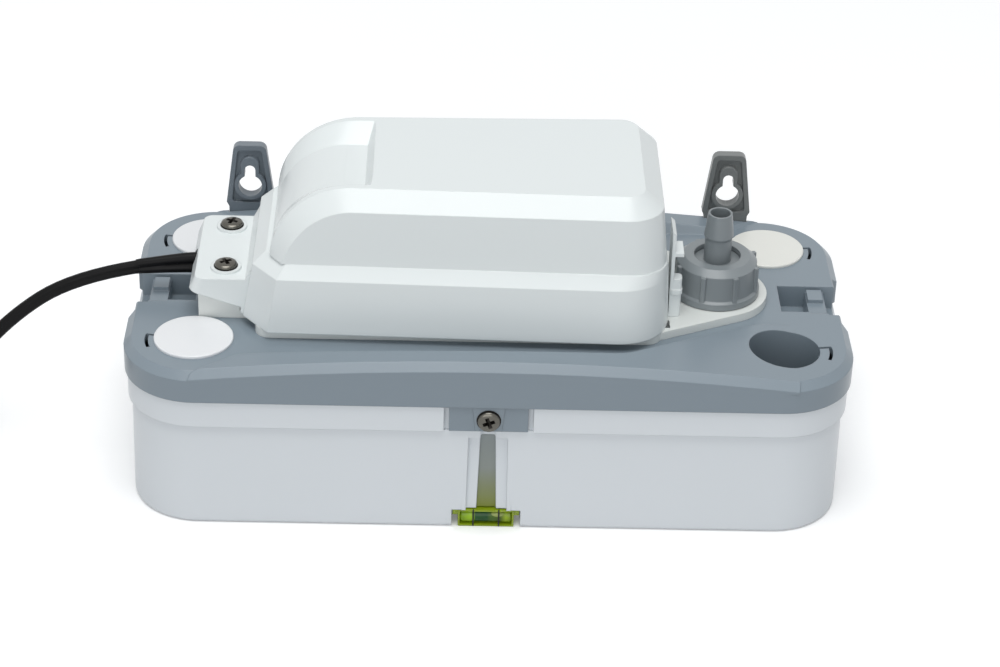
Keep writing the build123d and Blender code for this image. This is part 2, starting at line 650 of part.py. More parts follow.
# ---- motor cover -----------------------------------------------------------------------------
CORNER_CUT_X = 10.0
CORNER_CUT_Y = 27.0
NOSE_X = -52.3
NOSE_Z = COVER_TOP - NOSE_R
TIER_Z = BASE_Z + SHOULDER_Z + SHOULDER_RISE
TIER_LEFT = NOSE_X - math.sqrt(NOSE_R**2 - (TIER_Z - NOSE_Z) ** 2)
RIDGE = 1.2                          # flat left between top bevel and recess
TIER_RIGHT = COVER_X1 - 2.0
TIER_LEDGE = 0.3                     # narrow ledge at the foot of the upper tier


def half_width(x, inset):
    return COVER_HALF - inset + COVER_TAPER * (x + 20)


def cover_plan(left, right, inset, corner):
    """Plan of the cover: cut corners on the left, round ones on the right."""
    cut_x = left + CORNER_CUT_X - inset / 2
    with BuildSketch(mode=Mode.PRIVATE) as plan:
        with BuildLine():
            Polyline(
                (left, -CORNER_CUT_Y + inset / 2),
                (cut_x, -half_width(cut_x, inset)),
                (right, -half_width(right, inset)),
                (right, half_width(right, inset)),
                (cut_x, half_width(cut_x, inset)),
                (left, CORNER_CUT_Y - inset / 2),
                close=True,
            )
        make_face()
        fillet(plan.vertices().group_by(Axis.X)[-1], radius=corner)
    return plan.sketch_local


def upper_tier(inset, top, floor_z, nose_x, nose_z, nose):
    """The tier above the shoulder: a side outline with a round nose, bevelled along its top."""
    reach = SHOULDER_STEP + inset
    right = TIER_RIGHT - inset
    with BuildPart(mode=Mode.PRIVATE) as tier:
        with BuildSketch(Plane.XY.offset(floor_z)) as plan:
            with BuildLine():
                Polyline(
                    (TIER_LEFT - 8, -half_width(TIER_LEFT, reach)),
                    (right + 4, -half_width(right, reach)),
                    (right + 4, half_width(right, reach)),
                    (TIER_LEFT - 8, half_width(TIER_LEFT, reach)),
                    close=True,
                )
            make_face()
        extrude(amount=top - floor_z + 5)
        with BuildSketch(Plane.XZ.offset(-COVER_HALF - 10)):
            with BuildLine():
                start = nose_x - math.sqrt(nose**2 - (floor_z - nose_z) ** 2)
                middle = (math.asin((floor_z - nose_z) / nose) + math.pi / 2) / 2
                ThreePointArc(
                    (start, floor_z),
                    (nose_x - nose * math.cos(middle), nose_z + nose * math.sin(middle)),
                    (nose_x, top),
                )
                Polyline((nose_x, top), (right - 3, top), (right, floor_z), (start, floor_z))
            make_face()
        extrude(amount=2 * COVER_HALF + 20, mode=Mode.INTERSECT)
        fillet(
            tier.edges().filter_by(lambda e: e.center().X > 40 and abs(e.tangent_at(0.5).Z) > 0.7),
            radius=14 - inset,
        )
        rim = tier.edges().filter_by(
            lambda e: e.center().Z > floor_z + 1
            and abs(e.tangent_at(0.5).Z) < 0.9
            and not (abs(e.tangent_at(0.5).Y) > 0.95 and e.center().X < 0)
        )
        chamfer(rim, length=TOP_CHAMFER - inset / 2)
    return tier.part


def recess_outline(y, radius, nose_top, wall_foot):
    """Side outline of the space above the sunk panel, on the plane at y."""
    left = TIER_LEFT
    centre_x = left + radius
    centre_z = nose_top - radius
    slant = math.sqrt(0.5)
    with BuildSketch(Plane.XZ.offset(-y), mode=Mode.PRIVATE) as outline:
        with BuildLine():
            ThreePointArc(
                (left, centre_z),
                (centre_x - radius * slant, centre_z + radius * slant),
                (centre_x, nose_top),
            )
            Polyline(
                (centre_x, nose_top),
                (wall_foot, nose_top),
                (RECESS_X + 4, COVER_TOP + 2),
                (RECESS_X + 4, COVER_TOP + 12),
                (left - 12, COVER_TOP + 12),
                (left - 12, centre_z),
                (left, centre_z),
            )
        make_face()
    return outline.sketch


RECESS_EDGE = half_width(TIER_LEFT, SHOULDER_STEP) - TOP_CHAMFER - RIDGE
RECESS_FLAT = RECESS_EDGE - 10.5
RECESS_NOSE_R = NOSE_R - 4.0
with BuildPart() as recess:
    for y, radius, top, foot in (
        (-RECESS_EDGE, NOSE_R, COVER_TOP + 0.4, RECESS_X + 2.5),
        (-RECESS_FLAT, RECESS_NOSE_R, COVER_TOP - RECESS_DEPTH, RECESS_X),
        (RECESS_FLAT, RECESS_NOSE_R, COVER_TOP - RECESS_DEPTH, RECESS_X),
        (RECESS_EDGE, NOSE_R, COVER_TOP + 0.4, RECESS_X + 2.5),
    ):
        add(recess_outline(y, radius, top, foot))
    loft(ruled=True)

INNER_TOP = COVER_TOP - RECESS_DEPTH - COVER_WALL
NECK_Z = BASE_Z + NECK_TOP
NECK_IN = COVER_X0 + 5
INNER_NOSE_R = RECESS_NOSE_R - COVER_WALL
outer_tier = upper_tier(0, COVER_TOP, TIER_Z, NOSE_X, NOSE_Z, NOSE_R)
inner_tier = upper_tier(
    COVER_WALL, INNER_TOP, TIER_Z - 8, TIER_LEFT + RECESS_NOSE_R, INNER_TOP - INNER_NOSE_R, INNER_NOSE_R
)

with BuildPart() as cover:
    add(outer_tier)
    add(recess.part, mode=Mode.SUBTRACT)
    # skirt and sloped shoulder
    with BuildSketch(Plane.XY.offset(BASE_Z)):
        add(cover_plan(COVER_X0 - 4.0, COVER_X1, 0, 20))
    with BuildSketch(Plane.XY.offset(BASE_Z + SHOULDER_Z)):
        add(cover_plan(COVER_X0, COVER_X1 - 1.0, 0.4, 19.4))
    loft(ruled=True)
    with BuildSketch(Plane.XY.offset(BASE_Z + SHOULDER_Z)):
        add(cover_plan(COVER_X0, COVER_X1 - 1.0, 0.4, 19.4))
    with BuildSketch(Plane.XY.offset(TIER_Z)):
        add(cover_plan(COVER_X0 + 5.2, TIER_RIGHT + TIER_LEDGE, SHOULDER_STEP - TIER_LEDGE, 14))
    loft(ruled=True)
    # neck towards the cord, with a hollow sweep up to the shoulder
    with BuildSketch(Plane.XZ.offset(-NECK_HALF)):
        with BuildLine():
            Polyline(
                (NECK_IN - 8, NECK_Z),
                (NECK_X + 1.5, NECK_Z),
                (NECK_X - 0.8, BASE_Z + NECK_EDGE_OUT),
                (NECK_ROOT, BASE_Z + NECK_EDGE_IN),
                (NECK_ROOT, BASE_Z),
                (NECK_IN + 3, BASE_Z),
                (NECK_IN + 3, BASE_Z + SHOULDER_Z),
                (COVER_X0 + 1, BASE_Z + SHOULDER_Z),
            )
            ThreePointArc(
                (COVER_X0 + 1, BASE_Z + SHOULDER_Z),
                (COVER_X0 - 1.6, BASE_Z + SHOULDER_Z - 5.4),
                (NECK_IN - 8, NECK_Z),
            )
        make_face()
    extrude(amount=2 * NECK_HALF)
    ends = cover.edges().filter_by(
        lambda e: e.center().X < NECK_X + 2 and abs(e.tangent_at(0.5).Z) > 0.8 and abs(e.center().Y) > NECK_HALF - 1
    )
    fillet(ends, radius=3.5)
    with BuildSketch(Plane.XY.offset(NECK_Z - 1)):
        with Locations((SCREW_X, -SCREW_Y), (SCREW_X, SCREW_Y)):
            Circle(HEAD_R + 1.6)
    extrude(amount=1.9)
    # hollow inside, open below
    add(inner_tier, mode=Mode.SUBTRACT)
    with BuildSketch(Plane.XY.offset(BASE_Z)):
        add(cover_plan(COVER_X0 - 4.0 + COVER_WALL, COVER_X1 - COVER_WALL, COVER_WALL, 18))
    with BuildSketch(Plane.XY.offset(BASE_Z + SHOULDER_Z - 1)):
        add(cover_plan(COVER_X0 + COVER_WALL, COVER_X1 - COVER_WALL - 1.0, COVER_WALL + 0.4, 17.4))
    loft(ruled=True, mode=Mode.SUBTRACT)
    # bores for the cord and the neck screws
    with BuildSketch(Plane.YZ.offset(NECK_X - 3)):
        with Locations((0, CORD_Z)):
            Circle(CORD_HOLE)
    extrude(amount=COVER_X0 - NECK_X + 8, mode=Mode.SUBTRACT)
    with BuildSketch(Plane.XY.offset(BASE_Z)):
        with Locations((SCREW_X, -SCREW_Y), (SCREW_X, SCREW_Y)):
            Circle(SCREW_R + FIT)
    extrude(amount=30, mode=Mode.SUBTRACT)
save(cover.part, "motor_cover")

# ---- neck screws ---------------------------------------------------------------------------------
NECK_BOSS_Z = NECK_Z + 0.9
for name, side in (("neck_screw_front", -1), ("neck_screw_back", 1)):
    with BuildPart() as screw:
        with BuildSketch(Plane.XY.offset(NECK_BOSS_Z)):
            with Locations((SCREW_X, side * SCREW_Y)):
                Circle(HEAD_R)
        extrude(amount=HEAD_H)
        fillet(screw.edges().group_by(Axis.Z)[-1], radius=HEAD_H * 0.7)
        with BuildSketch(Plane.XY.offset(NECK_BOSS_Z)):
            with Locations((SCREW_X, side * SCREW_Y)):
                Circle(SCREW_R)
        extrude(amount=BASE_Z + 1 - NECK_BOSS_Z)
    save(screw.part, name)

# ---- catch strap at the right end of the cover ---------------------------------------------------
STRAP_Y = -21.5
STRAP_FRONT = COVER_X1 + 0.2
with BuildPart() as strap:
    with BuildSketch(Plane.XY.offset(BASE_Z)):
        with Locations((STRAP_FRONT + 0.7, STRAP_Y + 6)):
            Rectangle(1.4, 12)
    extrude(amount=33)
    # small hook over the upper end
    with BuildSketch(Plane.XZ.offset(-STRAP_Y - 12)):
        with BuildLine():
            Polyline(
                (STRAP_FRONT, BASE_Z + 33),
                (STRAP_FRONT + 1.4, BASE_Z + 33),
                (STRAP_FRONT + 1.4, BASE_Z + 36),
                (STRAP_FRONT - 0.2, BASE_Z + 37.5),
                close=True,
            )
        make_face()
    extrude(amount=12)
    # ledge, and the rounded clip below it
    with BuildSketch(Plane.XY.offset(BASE_Z + 26.5)):
        with Locations((STRAP_FRONT + 2.6, STRAP_Y + 5)):
            Rectangle(4.2, 10)
    extrude(amount=1.6)
    with BuildSketch(Plane.XY.offset(BASE_Z)):
        with Locations((STRAP_FRONT + 2.4, STRAP_Y + 2.6)):
            RectangleRounded(4.6, 5.2, 1.6)
    extrude(amount=16.5)
    with BuildSketch(Plane.XY.offset(BASE_Z + 10)):
        with Locations((STRAP_FRONT + 2.4, STRAP_Y + 2.2)):
            RectangleRounded(5.2, 5.6, 1.8)
    extrude(amount=2)
save(strap.part, "cover_catch")

# ---- outlet: valve seat, ball, gasket, union nut, barb ------------------------------------------
SEAT_H = 2.5
SEAT_HOLE = 3.6
BALL_TRAVEL = 3.5
GASKET_H = 0.8
BARB_FLANGE_R = 12.3
BARB_FLANGE_H = 2.2
NUT_FOOT = 0.3
BARB_RIDGE_Z = 97.0
BOSS_TOP = BASE_Z + BOSS_HEIGHT
BARB_FOOT = BOSS_TOP + GASKET_H
with BuildPart() as seat:
    with BuildSketch(Plane.XY.offset(BASE_Z)):
        with Locations((OUTLET_X, 0)):
            Circle(BOSS_BORE - FIT)
            Circle(SEAT_HOLE, mode=Mode.SUBTRACT)
    extrude(amount=SEAT_H)
save(seat.part, "valve_seat")

BALL_FLAT = 0.4                      # gate mark at each pole
ball_z = BASE_Z + SEAT_H + math.sqrt(BALL_R**2 - SEAT_HOLE**2) + FIT
pole = math.sqrt(BALL_R**2 - BALL_FLAT**2)
with BuildPart() as ball:
    with BuildSketch(Plane.XZ):
        with BuildLine():
            Polyline(
                (OUTLET_X + BALL_FLAT, ball_z - pole),
                (OUTLET_X, ball_z - pole),
                (OUTLET_X, ball_z + pole),
                (OUTLET_X + BALL_FLAT, ball_z + pole),
            )
            ThreePointArc(
                (OUTLET_X + BALL_FLAT, ball_z + pole),
                (OUTLET_X + BALL_R, ball_z),
                (OUTLET_X + BALL_FLAT, ball_z - pole),
            )
        make_face()
    revolve(axis=Axis((OUTLET_X, 0, 0), (0, 0, 1)), revolution_arc=360)
save(ball.part, "valve_ball")

with BuildPart() as gasket:
    with BuildSketch(Plane.XY.offset(BOSS_TOP)):
        with Locations((OUTLET_X, 0)):
            Circle(BARB_FLANGE_R)
            Circle(BOSS_BORE + 0.4, mode=Mode.SUBTRACT)
    extrude(amount=GASKET_H)
save(gasket.part, "outlet_gasket")

with BuildPart() as barb:
    with BuildSketch(Plane.XZ):
        with BuildLine():
            Polyline(
                (OUTLET_X + BARB_BORE, BARB_FOOT),
                (OUTLET_X + BARB_FLANGE_R, BARB_FOOT),
                (OUTLET_X + BARB_FLANGE_R, BARB_FOOT + BARB_FLANGE_H),
                (OUTLET_X + 5.3, BARB_FOOT + BARB_FLANGE_H),
                (OUTLET_X + 5.3, BARB_RIDGE_Z - 1.2),
                (OUTLET_X + 5.8, BARB_RIDGE_Z),
                (OUTLET_X + 4.7, BARB_TIP_Z),
                (OUTLET_X + BARB_BORE, BARB_TIP_Z),
                close=True,
            )
        make_face()
    revolve(axis=Axis((OUTLET_X, 0, 0), (0, 0, 1)), revolution_arc=360)
save(barb.part, "hose_barb")

nut_z = BASE_Z + NUT_FOOT
with BuildPart() as nut:
    with BuildSketch(Plane.XZ):
        with BuildLine():
            Polyline(
                (OUTLET_X + BOSS_R + 0.35, nut_z),
                (OUTLET_X + NUT_FLANGE_R, nut_z),
                (OUTLET_X + NUT_FLANGE_R, nut_z + 2.6),
                (OUTLET_X + NUT_R, nut_z + 3.4),
                (OUTLET_X + NUT_R - 0.4, nut_z + NUT_HEIGHT - 2.4),
                (OUTLET_X + NUT_R - 3.0, nut_z + NUT_HEIGHT),
                (OUTLET_X + NUT_HOLE_R, nut_z + NUT_HEIGHT),
                (OUTLET_X + NUT_HOLE_R, BARB_FOOT + BARB_FLANGE_H + 0.3),
                (OUTLET_X + BOSS_R + 0.35, BARB_FOOT + BARB_FLANGE_H + 0.3),
                close=True,
            )
        make_face()
    revolve(axis=Axis((OUTLET_X, 0, 0), (0, 0, 1)), revolution_arc=360)
    with BuildSketch(Plane.XY.offset(nut_z + 1)):
        with Locations((OUTLET_X, 0)):
            with PolarLocations(NUT_R - 0.3, NUT_RIBS, start_angle=22.5):
                RectangleRounded(2.4, 2.0, 0.5)
    extrude(amount=NUT_HEIGHT - 3.4)
save(nut.part, "union_nut")

# ---- motor ---------------------------------------------------------------------------------------
STACK_HALF = 29.5
STACK_X0 = -40.0
STACK_X1 = 40.0
LIMB = 12.0
WINDOW_X1 = -7.0
WINDOW_HALF = 18.0
LIMB_X = STACK_X0 + LIMB / 2
with BuildPart() as stator:
    with BuildSketch(Plane.XY.offset(STACK_Z)):
        with Locations(((STACK_X0 + STACK_X1) / 2, 0)):
            RectangleRounded(STACK_X1 - STACK_X0, 2 * STACK_HALF, 3)
        with Locations(((STACK_X0 + LIMB + WINDOW_X1) / 2, 0)):
            Rectangle(WINDOW_X1 - STACK_X0 - LIMB, 2 * WINDOW_HALF, mode=Mode.SUBTRACT)
        with Locations((MOTOR_X, 0)):
            Circle(ROTOR_R + AIR_GAP, mode=Mode.SUBTRACT)
        with Locations((MOTOR_X, -POST_Y), (MOTOR_X, POST_Y)):
            Circle(BOLT_R + FIT, mode=Mode.SUBTRACT)
    extrude(amount=STACK)
save(stator.part, "stator_stack")

BOBBIN_WALL = 1.0
WINDING_T = 6.0
WINDING_HALF = WINDOW_HALF - 2.2
with BuildPart() as bobbin:
    with BuildSketch(Plane.XZ.offset(WINDOW_HALF - 0.2)):
        with Locations((LIMB_X, STACK_Z + STACK / 2)):
            RectangleRounded(LIMB + 2 * WINDING_T + 3, STACK + 2 * WINDING_T + 1, 2)
    extrude(amount=-(2 * WINDOW_HALF - 0.4))
    with BuildSketch(Plane.XZ.offset(WINDING_HALF)):
        with Locations((LIMB_X, STACK_Z + STACK / 2)):
            Rectangle(LIMB + 40, STACK + 40)
            Rectangle(LIMB + 2 * BOBBIN_WALL + 0.2, STACK + 2 * BOBBIN_WALL + 0.2, mode=Mode.SUBTRACT)
    extrude(amount=-2 * WINDING_HALF, mode=Mode.SUBTRACT)
    with BuildSketch(Plane.XZ.offset(WINDOW_HALF)):
        with Locations((LIMB_X, STACK_Z + STACK / 2)):
            Rectangle(LIMB + 0.2, STACK + 0.2)
    extrude(amount=-2 * WINDOW_HALF, mode=Mode.SUBTRACT)
save(bobbin.part, "bobbin")

with BuildPart() as winding:
    with BuildSketch(Plane.XZ.offset(WINDING_HALF - FIT)):
        with Locations((LIMB_X, STACK_Z + STACK / 2)):
            RectangleRounded(LIMB + 2 * WINDING_T, STACK + 2 * WINDING_T, 5)
            Rectangle(LIMB + 2 * BOBBIN_WALL + 0.3, STACK + 2 * BOBBIN_WALL + 0.3, mode=Mode.SUBTRACT)
    extrude(amount=-2 * (WINDING_HALF - FIT))
save(winding.part, "motor_winding")

BRACKET_T = 2.5
BEARING_R = 6.0
BEARING_H = 5.0
LOW_BAR_Z = BASE_Z + 8.0
HIGH_BAR_Z = STACK_Z + STACK + 3.0
for name, bar_z, foot_z, foot_h, boss_z in (
    ("bracket_lower", LOW_BAR_Z, LOW_BAR_Z, STACK_Z - LOW_BAR_Z, LOW_BAR_Z),
    ("bracket_upper", HIGH_BAR_Z, STACK_Z + STACK, 3.0 + BRACKET_T, HIGH_BAR_Z + BRACKET_T - BEARING_H),
):
    with BuildPart() as bracket:
        with BuildSketch(Plane.XY.offset(bar_z)):
            with Locations((MOTOR_X, 0)):
                SlotOverall(2 * STACK_HALF, 14, rotation=90)
        extrude(amount=BRACKET_T)
        with BuildSketch(Plane.XY.offset(foot_z)):
            with Locations((MOTOR_X, -POST_Y), (MOTOR_X, POST_Y)):
                Circle(4)
        extrude(amount=foot_h)
        with BuildSketch(Plane.XY.offset(boss_z)):
            with Locations((MOTOR_X, 0)):
                Circle(BEARING_R + 2)
        extrude(amount=BEARING_H)
        with BuildSketch(Plane.XY.offset(boss_z - 1)):
            with Locations((MOTOR_X, 0)):
                Circle(BEARING_R + FIT)
            with Locations((MOTOR_X, -POST_Y), (MOTOR_X, POST_Y)):
                Circle(BOLT_R + FIT)
        extrude(amount=20, mode=Mode.SUBTRACT)
        with BuildSketch(Plane.XY.offset(foot_z - 1)):
            with Locations((MOTOR_X, -POST_Y), (MOTOR_X, POST_Y)):
                Circle(BOLT_R + FIT)
        extrude(amount=20, mode=Mode.SUBTRACT)
    save(bracket.part, name)
    with BuildPart() as bearing:
        with BuildSketch(Plane.XY.offset(boss_z)):
            with Locations((MOTOR_X, 0)):
                Circle(BEARING_R)
                Circle(SHAFT_R + RUNNING, mode=Mode.SUBTRACT)
        extrude(amount=BEARING_H)
    save(bearing.part, name.replace("bracket", "bearing"))

BOLT_TOP = HIGH_BAR_Z + BRACKET_T
for name, side in (("motor_bolt_front", -1), ("motor_bolt_back", 1)):
    with BuildPart() as bolt:
        with BuildSketch(Plane.XY.offset(BASE_Z + 2)):
            with Locations((MOTOR_X, side * POST_Y)):
                Circle(BOLT_R)
        extrude(amount=BOLT_TOP - BASE_Z - 2)
        with BuildSketch(Plane.XY.offset(BOLT_TOP)):
            with Locations((MOTOR_X, side * POST_Y)):
                RegularPolygon(3.2, 6)
        extrude(amount=2.2)
    save(bolt.part, name)

IMPELLER_Z = VOLUTE_FLOOR + 3.2
SHAFT_TOP = INNER_TOP - 1.4
with BuildPart() as shaft:
    with BuildSketch(Plane.XY.offset(IMPELLER_Z)):
        with Locations((MOTOR_X, 0)):
            Circle(SHAFT_R)
    extrude(amount=SHAFT_TOP - IMPELLER_Z)
save(shaft.part, "motor_shaft")

with BuildPart() as rotor:
    with BuildSketch(Plane.XY.offset(STACK_Z)):
        with Locations((MOTOR_X, 0)):
            Circle(ROTOR_R)
            Circle(SHAFT_R + FIT, mode=Mode.SUBTRACT)
    extrude(amount=STACK)
save(rotor.part, "rotor")

FAN_Z = BOLT_TOP + 0.4
with BuildPart() as fan:
    with BuildSketch(Plane.XY.offset(FAN_Z)):
        with Locations((MOTOR_X, 0)):
            Circle(6.5)
    extrude(amount=SHAFT_TOP - FAN_Z - 0.4)
    with BuildSketch(Plane.XY.offset(FAN_Z + 0.4)):
        with Locations((MOTOR_X, 0)):
            Circle(FAN_R - 4.6)
            Circle(FAN_R - 6, mode=Mode.SUBTRACT)
            with PolarLocations(0, BLADES):
                with Locations(Location((FAN_R / 2 + 1, 0, 0), (0, 0, 10))):
                    Rectangle(FAN_R - 3, 1.2)
    extrude(amount=SHAFT_TOP - FAN_Z - 1.2)
    with BuildSketch(Plane.XY.offset(FAN_Z - 1)):
        with Locations((MOTOR_X, 0)):
            Circle(SHAFT_R + FIT)
    extrude(amount=20, mode=Mode.SUBTRACT)
save(fan.part, "cooling_fan")

with BuildPart() as impeller:
    with BuildSketch(Plane.XY.offset(IMPELLER_Z + 5)):
        with Locations((MOTOR_X, 0)):
            Circle(IMPELLER_R)
    extrude(amount=1.5)
    with BuildSketch(Plane.XY.offset(IMPELLER_Z)):
        with Locations((MOTOR_X, 0)):
            Circle(5)
            with PolarLocations(0, VANES):
                with Locations(Location((IMPELLER_R / 2 + 1.5, 0, 0), (0, 0, 20))):
                    Rectangle(IMPELLER_R - 6, 1.5)
    extrude(amount=5.2)
    with BuildSketch(Plane.XY.offset(IMPELLER_Z - 1)):
        with Locations((MOTOR_X, 0)):
            Circle(SHAFT_R + FIT)
    extrude(amount=20, mode=Mode.SUBTRACT)
save(impeller.part, "impeller")

# ---- pump housing: volute, column round the shaft, duct and riser to the outlet -----------------
VOLUTE_R = IMPELLER_R + 5.0
VOLUTE_WALL = 2.2
DUCT_R = 6.6
DUCT_BORE = 4.6
DUCT_Z = VOLUTE_FLOOR + 8.0
PLATE_H = 2.0
DUCT_OFFSET = VOLUTE_R - DUCT_BORE - 1.0
duct_turn = math.asin(DUCT_OFFSET / (OUTLET_X - MOTOR_X))
duct_start = (
    MOTOR_X - DUCT_OFFSET * math.sin(duct_turn),
    -DUCT_OFFSET * math.cos(duct_turn),
    DUCT_Z,
)
duct_way = Vector(OUTLET_X - duct_start[0], -duct_start[1], 0)
duct_plane = Plane(origin=duct_start, x_dir=(0, 0, 1), z_dir=duct_way)
with BuildPart() as housing:
    with BuildSketch(Plane.XY.offset(VOLUTE_FLOOR)):
        with Locations((MOTOR_X, 0)):
            Circle(VOLUTE_R + VOLUTE_WALL)
    extrude(amount=VOLUTE_HEIGHT)
    with BuildSketch(Plane.XY.offset(VOLUTE_TOP)):
        with Locations((MOTOR_X, 0)):
            Circle(COLUMN_R)
    extrude(amount=DECK_TOP - VOLUTE_TOP)
    with BuildSketch(Plane.XY.offset(DECK_TOP - 3)):
        with Locations((MOTOR_X, 0)):
            Circle(COLUMN_R + 6)
    extrude(amount=3)
    with BuildSketch(duct_plane):
        Circle(DUCT_R)
    extrude(amount=duct_way.length)
    with BuildSketch(Plane.XY.offset(VOLUTE_FLOOR + 0.5)):
        with Locations((OUTLET_X, 0)):
            Circle(RISER_R)
    extrude(amount=DECK_TOP - VOLUTE_FLOOR - 0.5)
    with BuildSketch(Plane.XY.offset(VOLUTE_FLOOR - 1)):
        with Locations((MOTOR_X, 0)):
            Circle(VOLUTE_R)
    extrude(amount=VOLUTE_HEIGHT - VOLUTE_WALL + 1, mode=Mode.SUBTRACT)
    with BuildSketch(Plane.XY.offset(VOLUTE_TOP - VOLUTE_WALL - 1)):
        with Locations((MOTOR_X, 0)):
            Circle(SHAFT_R + 1.2)
    extrude(amount=10, mode=Mode.SUBTRACT)
    with BuildSketch(Plane.XY.offset(VOLUTE_TOP + 2)):
        with Locations((MOTOR_X, 0)):
            Circle(COLUMN_R - 3)
    extrude(amount=DECK_TOP, mode=Mode.SUBTRACT)
    with BuildSketch(duct_plane):
        Circle(DUCT_BORE)
    extrude(amount=duct_way.length, mode=Mode.SUBTRACT)
    with BuildSketch(Plane.XY.offset(DUCT_Z - DUCT_BORE)):
        with Locations((OUTLET_X, 0)):
            Circle(RISER_BORE)
    extrude(amount=DECK_TOP, mode=Mode.SUBTRACT)
save(housing.part, "pump_housing")

with BuildPart() as strainer:
    with BuildSketch(Plane.XY.offset(VOLUTE_FLOOR)):
        with Locations((MOTOR_X, 0)):
            Circle(VOLUTE_R - FIT)
            Circle(2.2, mode=Mode.SUBTRACT)
            with PolarLocations(5.4, 6):
                Circle(1.7, mode=Mode.SUBTRACT)
    extrude(amount=PLATE_H)
save(strainer.part, "suction_plate")

# ---- float and run switch ------------------------------------------------------------------------
FLOAT_FOOT = 14.0
FLOAT_H = 20.0
ROD_TOP = BASE_Z + 9.6
LEVER_GAP = 0.3
LEVER_Z = ROD_TOP + FLOAT_TRAVEL + LEVER_GAP
LEVER_PIN_X = FLOAT_X - 9.0
with BuildPart() as buoy:
    with BuildSketch(Plane.XY.offset(FLOAT_FOOT)):
        with Locations((FLOAT_X, 0)):
            RectangleRounded(46, 48, 6)
    extrude(amount=FLOAT_H)
    fillet(buoy.edges().group_by(Axis.Z)[0] + buoy.edges().group_by(Axis.Z)[-1], radius=2)
    with BuildSketch(Plane.XY.offset(FLOAT_FOOT - 1)):
        with Locations((FLOAT_X, 0)):
            Circle(ROD_R + FIT)
    extrude(amount=FLOAT_H + 2, mode=Mode.SUBTRACT)
save(buoy.part, "float")

with BuildPart() as rod:
    with BuildSketch(Plane.XY.offset(FLOAT_FOOT)):
        with Locations((FLOAT_X, 0)):
            Circle(ROD_R)
    extrude(amount=ROD_TOP - FLOAT_FOOT)
    with BuildSketch(Plane.XY.offset(GUIDE_TOP + 0.1)):
        with Locations((FLOAT_X, 0)):
            Circle(ROD_R + 1.6)
    extrude(amount=1.2)
save(rod.part, "float_rod")

SWITCH_Z = LEVER_Z + 3.0
SWITCH_HALF = 4.0
SWITCH_H = 8.0
with BuildPart() as switch:
    with BuildSketch(Plane.XY.offset(SWITCH_Z)):
        with Locations((FLOAT_X, 0)):
            RectangleRounded(22, 2 * SWITCH_HALF, 0.8)
    extrude(amount=SWITCH_H)
    # ears that hold the lever's pin
    for side in (-1, 1):
        with BuildSketch(Plane.XZ.offset(-side * SWITCH_HALF)):
            with Locations((LEVER_PIN_X, LEVER_Z + 1.6)):
                Rectangle(3, 4.4)
        extrude(amount=side * 1.2)
    with BuildSketch(Plane.XZ.offset(-SWITCH_HALF - 1)):
        with Locations((LEVER_PIN_X, LEVER_Z + 0.5)):
            Circle(0.6 + FIT)
    extrude(amount=2 * SWITCH_HALF + 2, mode=Mode.SUBTRACT)
    with BuildSketch(Plane.XY.offset(SWITCH_Z - 1)):
        with Locations((FLOAT_X + 4, 0)):
            Circle(1.3 + RUNNING)
    extrude(amount=4, mode=Mode.SUBTRACT)
save(switch.part, "run_switch")

with BuildPart() as lever:
    with BuildSketch(Plane.XY.offset(LEVER_Z)):
        with Locations((LEVER_PIN_X + 9.5, 0)):
            Rectangle(20, 5)
    extrude(amount=0.5)
    with BuildSketch(Plane.XZ.offset(-2.5)):
        with Locations((LEVER_PIN_X, LEVER_Z + 0.5)):
            Circle(1.2)
    extrude(amount=5)
    with BuildSketch(Plane.XZ.offset(-2.5)):
        with Locations((LEVER_PIN_X, LEVER_Z + 0.5)):
            Circle(0.6 + RUNNING)
    extrude(amount=5, mode=Mode.SUBTRACT)
save(lever.part, "switch_lever")

with BuildPart() as pin:
    with BuildSketch(Plane.XZ.offset(-SWITCH_HALF)):
        with Locations((LEVER_PIN_X, LEVER_Z + 0.5)):
            Circle(0.6)
    extrude(amount=2 * SWITCH_HALF)
save(pin.part, "lever_pin")

with BuildPart() as button:
    with BuildSketch(Plane.XY.offset(LEVER_Z + 0.6)):
        with Locations((FLOAT_X + 4, 0)):
            Circle(1.3)
    extrude(amount=3.2)
save(button.part, "switch_button")

with BuildPart() as switch_stand:
    with BuildSketch(Plane.XY.offset(BASE_Z)):
        with Locations((FLOAT_X, SWITCH_HALF + 7)):
            Rectangle(20, 12)
    extrude(amount=2)
    with BuildSketch(Plane.XY.offset(BASE_Z)):
        with Locations((FLOAT_X, SWITCH_HALF + 1.2 + 0.8)):
            Rectangle(12, 1.6)
    extrude(amount=SWITCH_Z + SWITCH_H - 1 - BASE_Z)
    with BuildSketch(Plane.XY.offset(SWITCH_Z + 2)):
        with Locations((FLOAT_X, SWITCH_HALF + 0.6)):
            Rectangle(10, 1.2)
    extrude(amount=SWITCH_H - 3)
save(switch_stand.part, "switch_stand")

# ---- power cord ----------------------------------------------------------------------------------
RELIEF_ROOT = 5.0
RELIEF_TIP = 3.6
RELIEF_X0 = NECK_X + 8.0
RELIEF_X1 = -139.0
with BuildPart() as relief:
    for x, y, z, radius in (
        (RELIEF_X0, 0, CORD_Z, RELIEF_ROOT),
        (NECK_X - 1.5, 0, CORD_Z, RELIEF_ROOT),
        (RELIEF_X1, -0.6, CORD_Z - 2.0, RELIEF_TIP),
    ):
        with BuildSketch(Plane.YZ.offset(x)):
            with Locations((y, z)):
                Circle(radius)
    loft(ruled=True)
save(relief.part, "strain_relief")

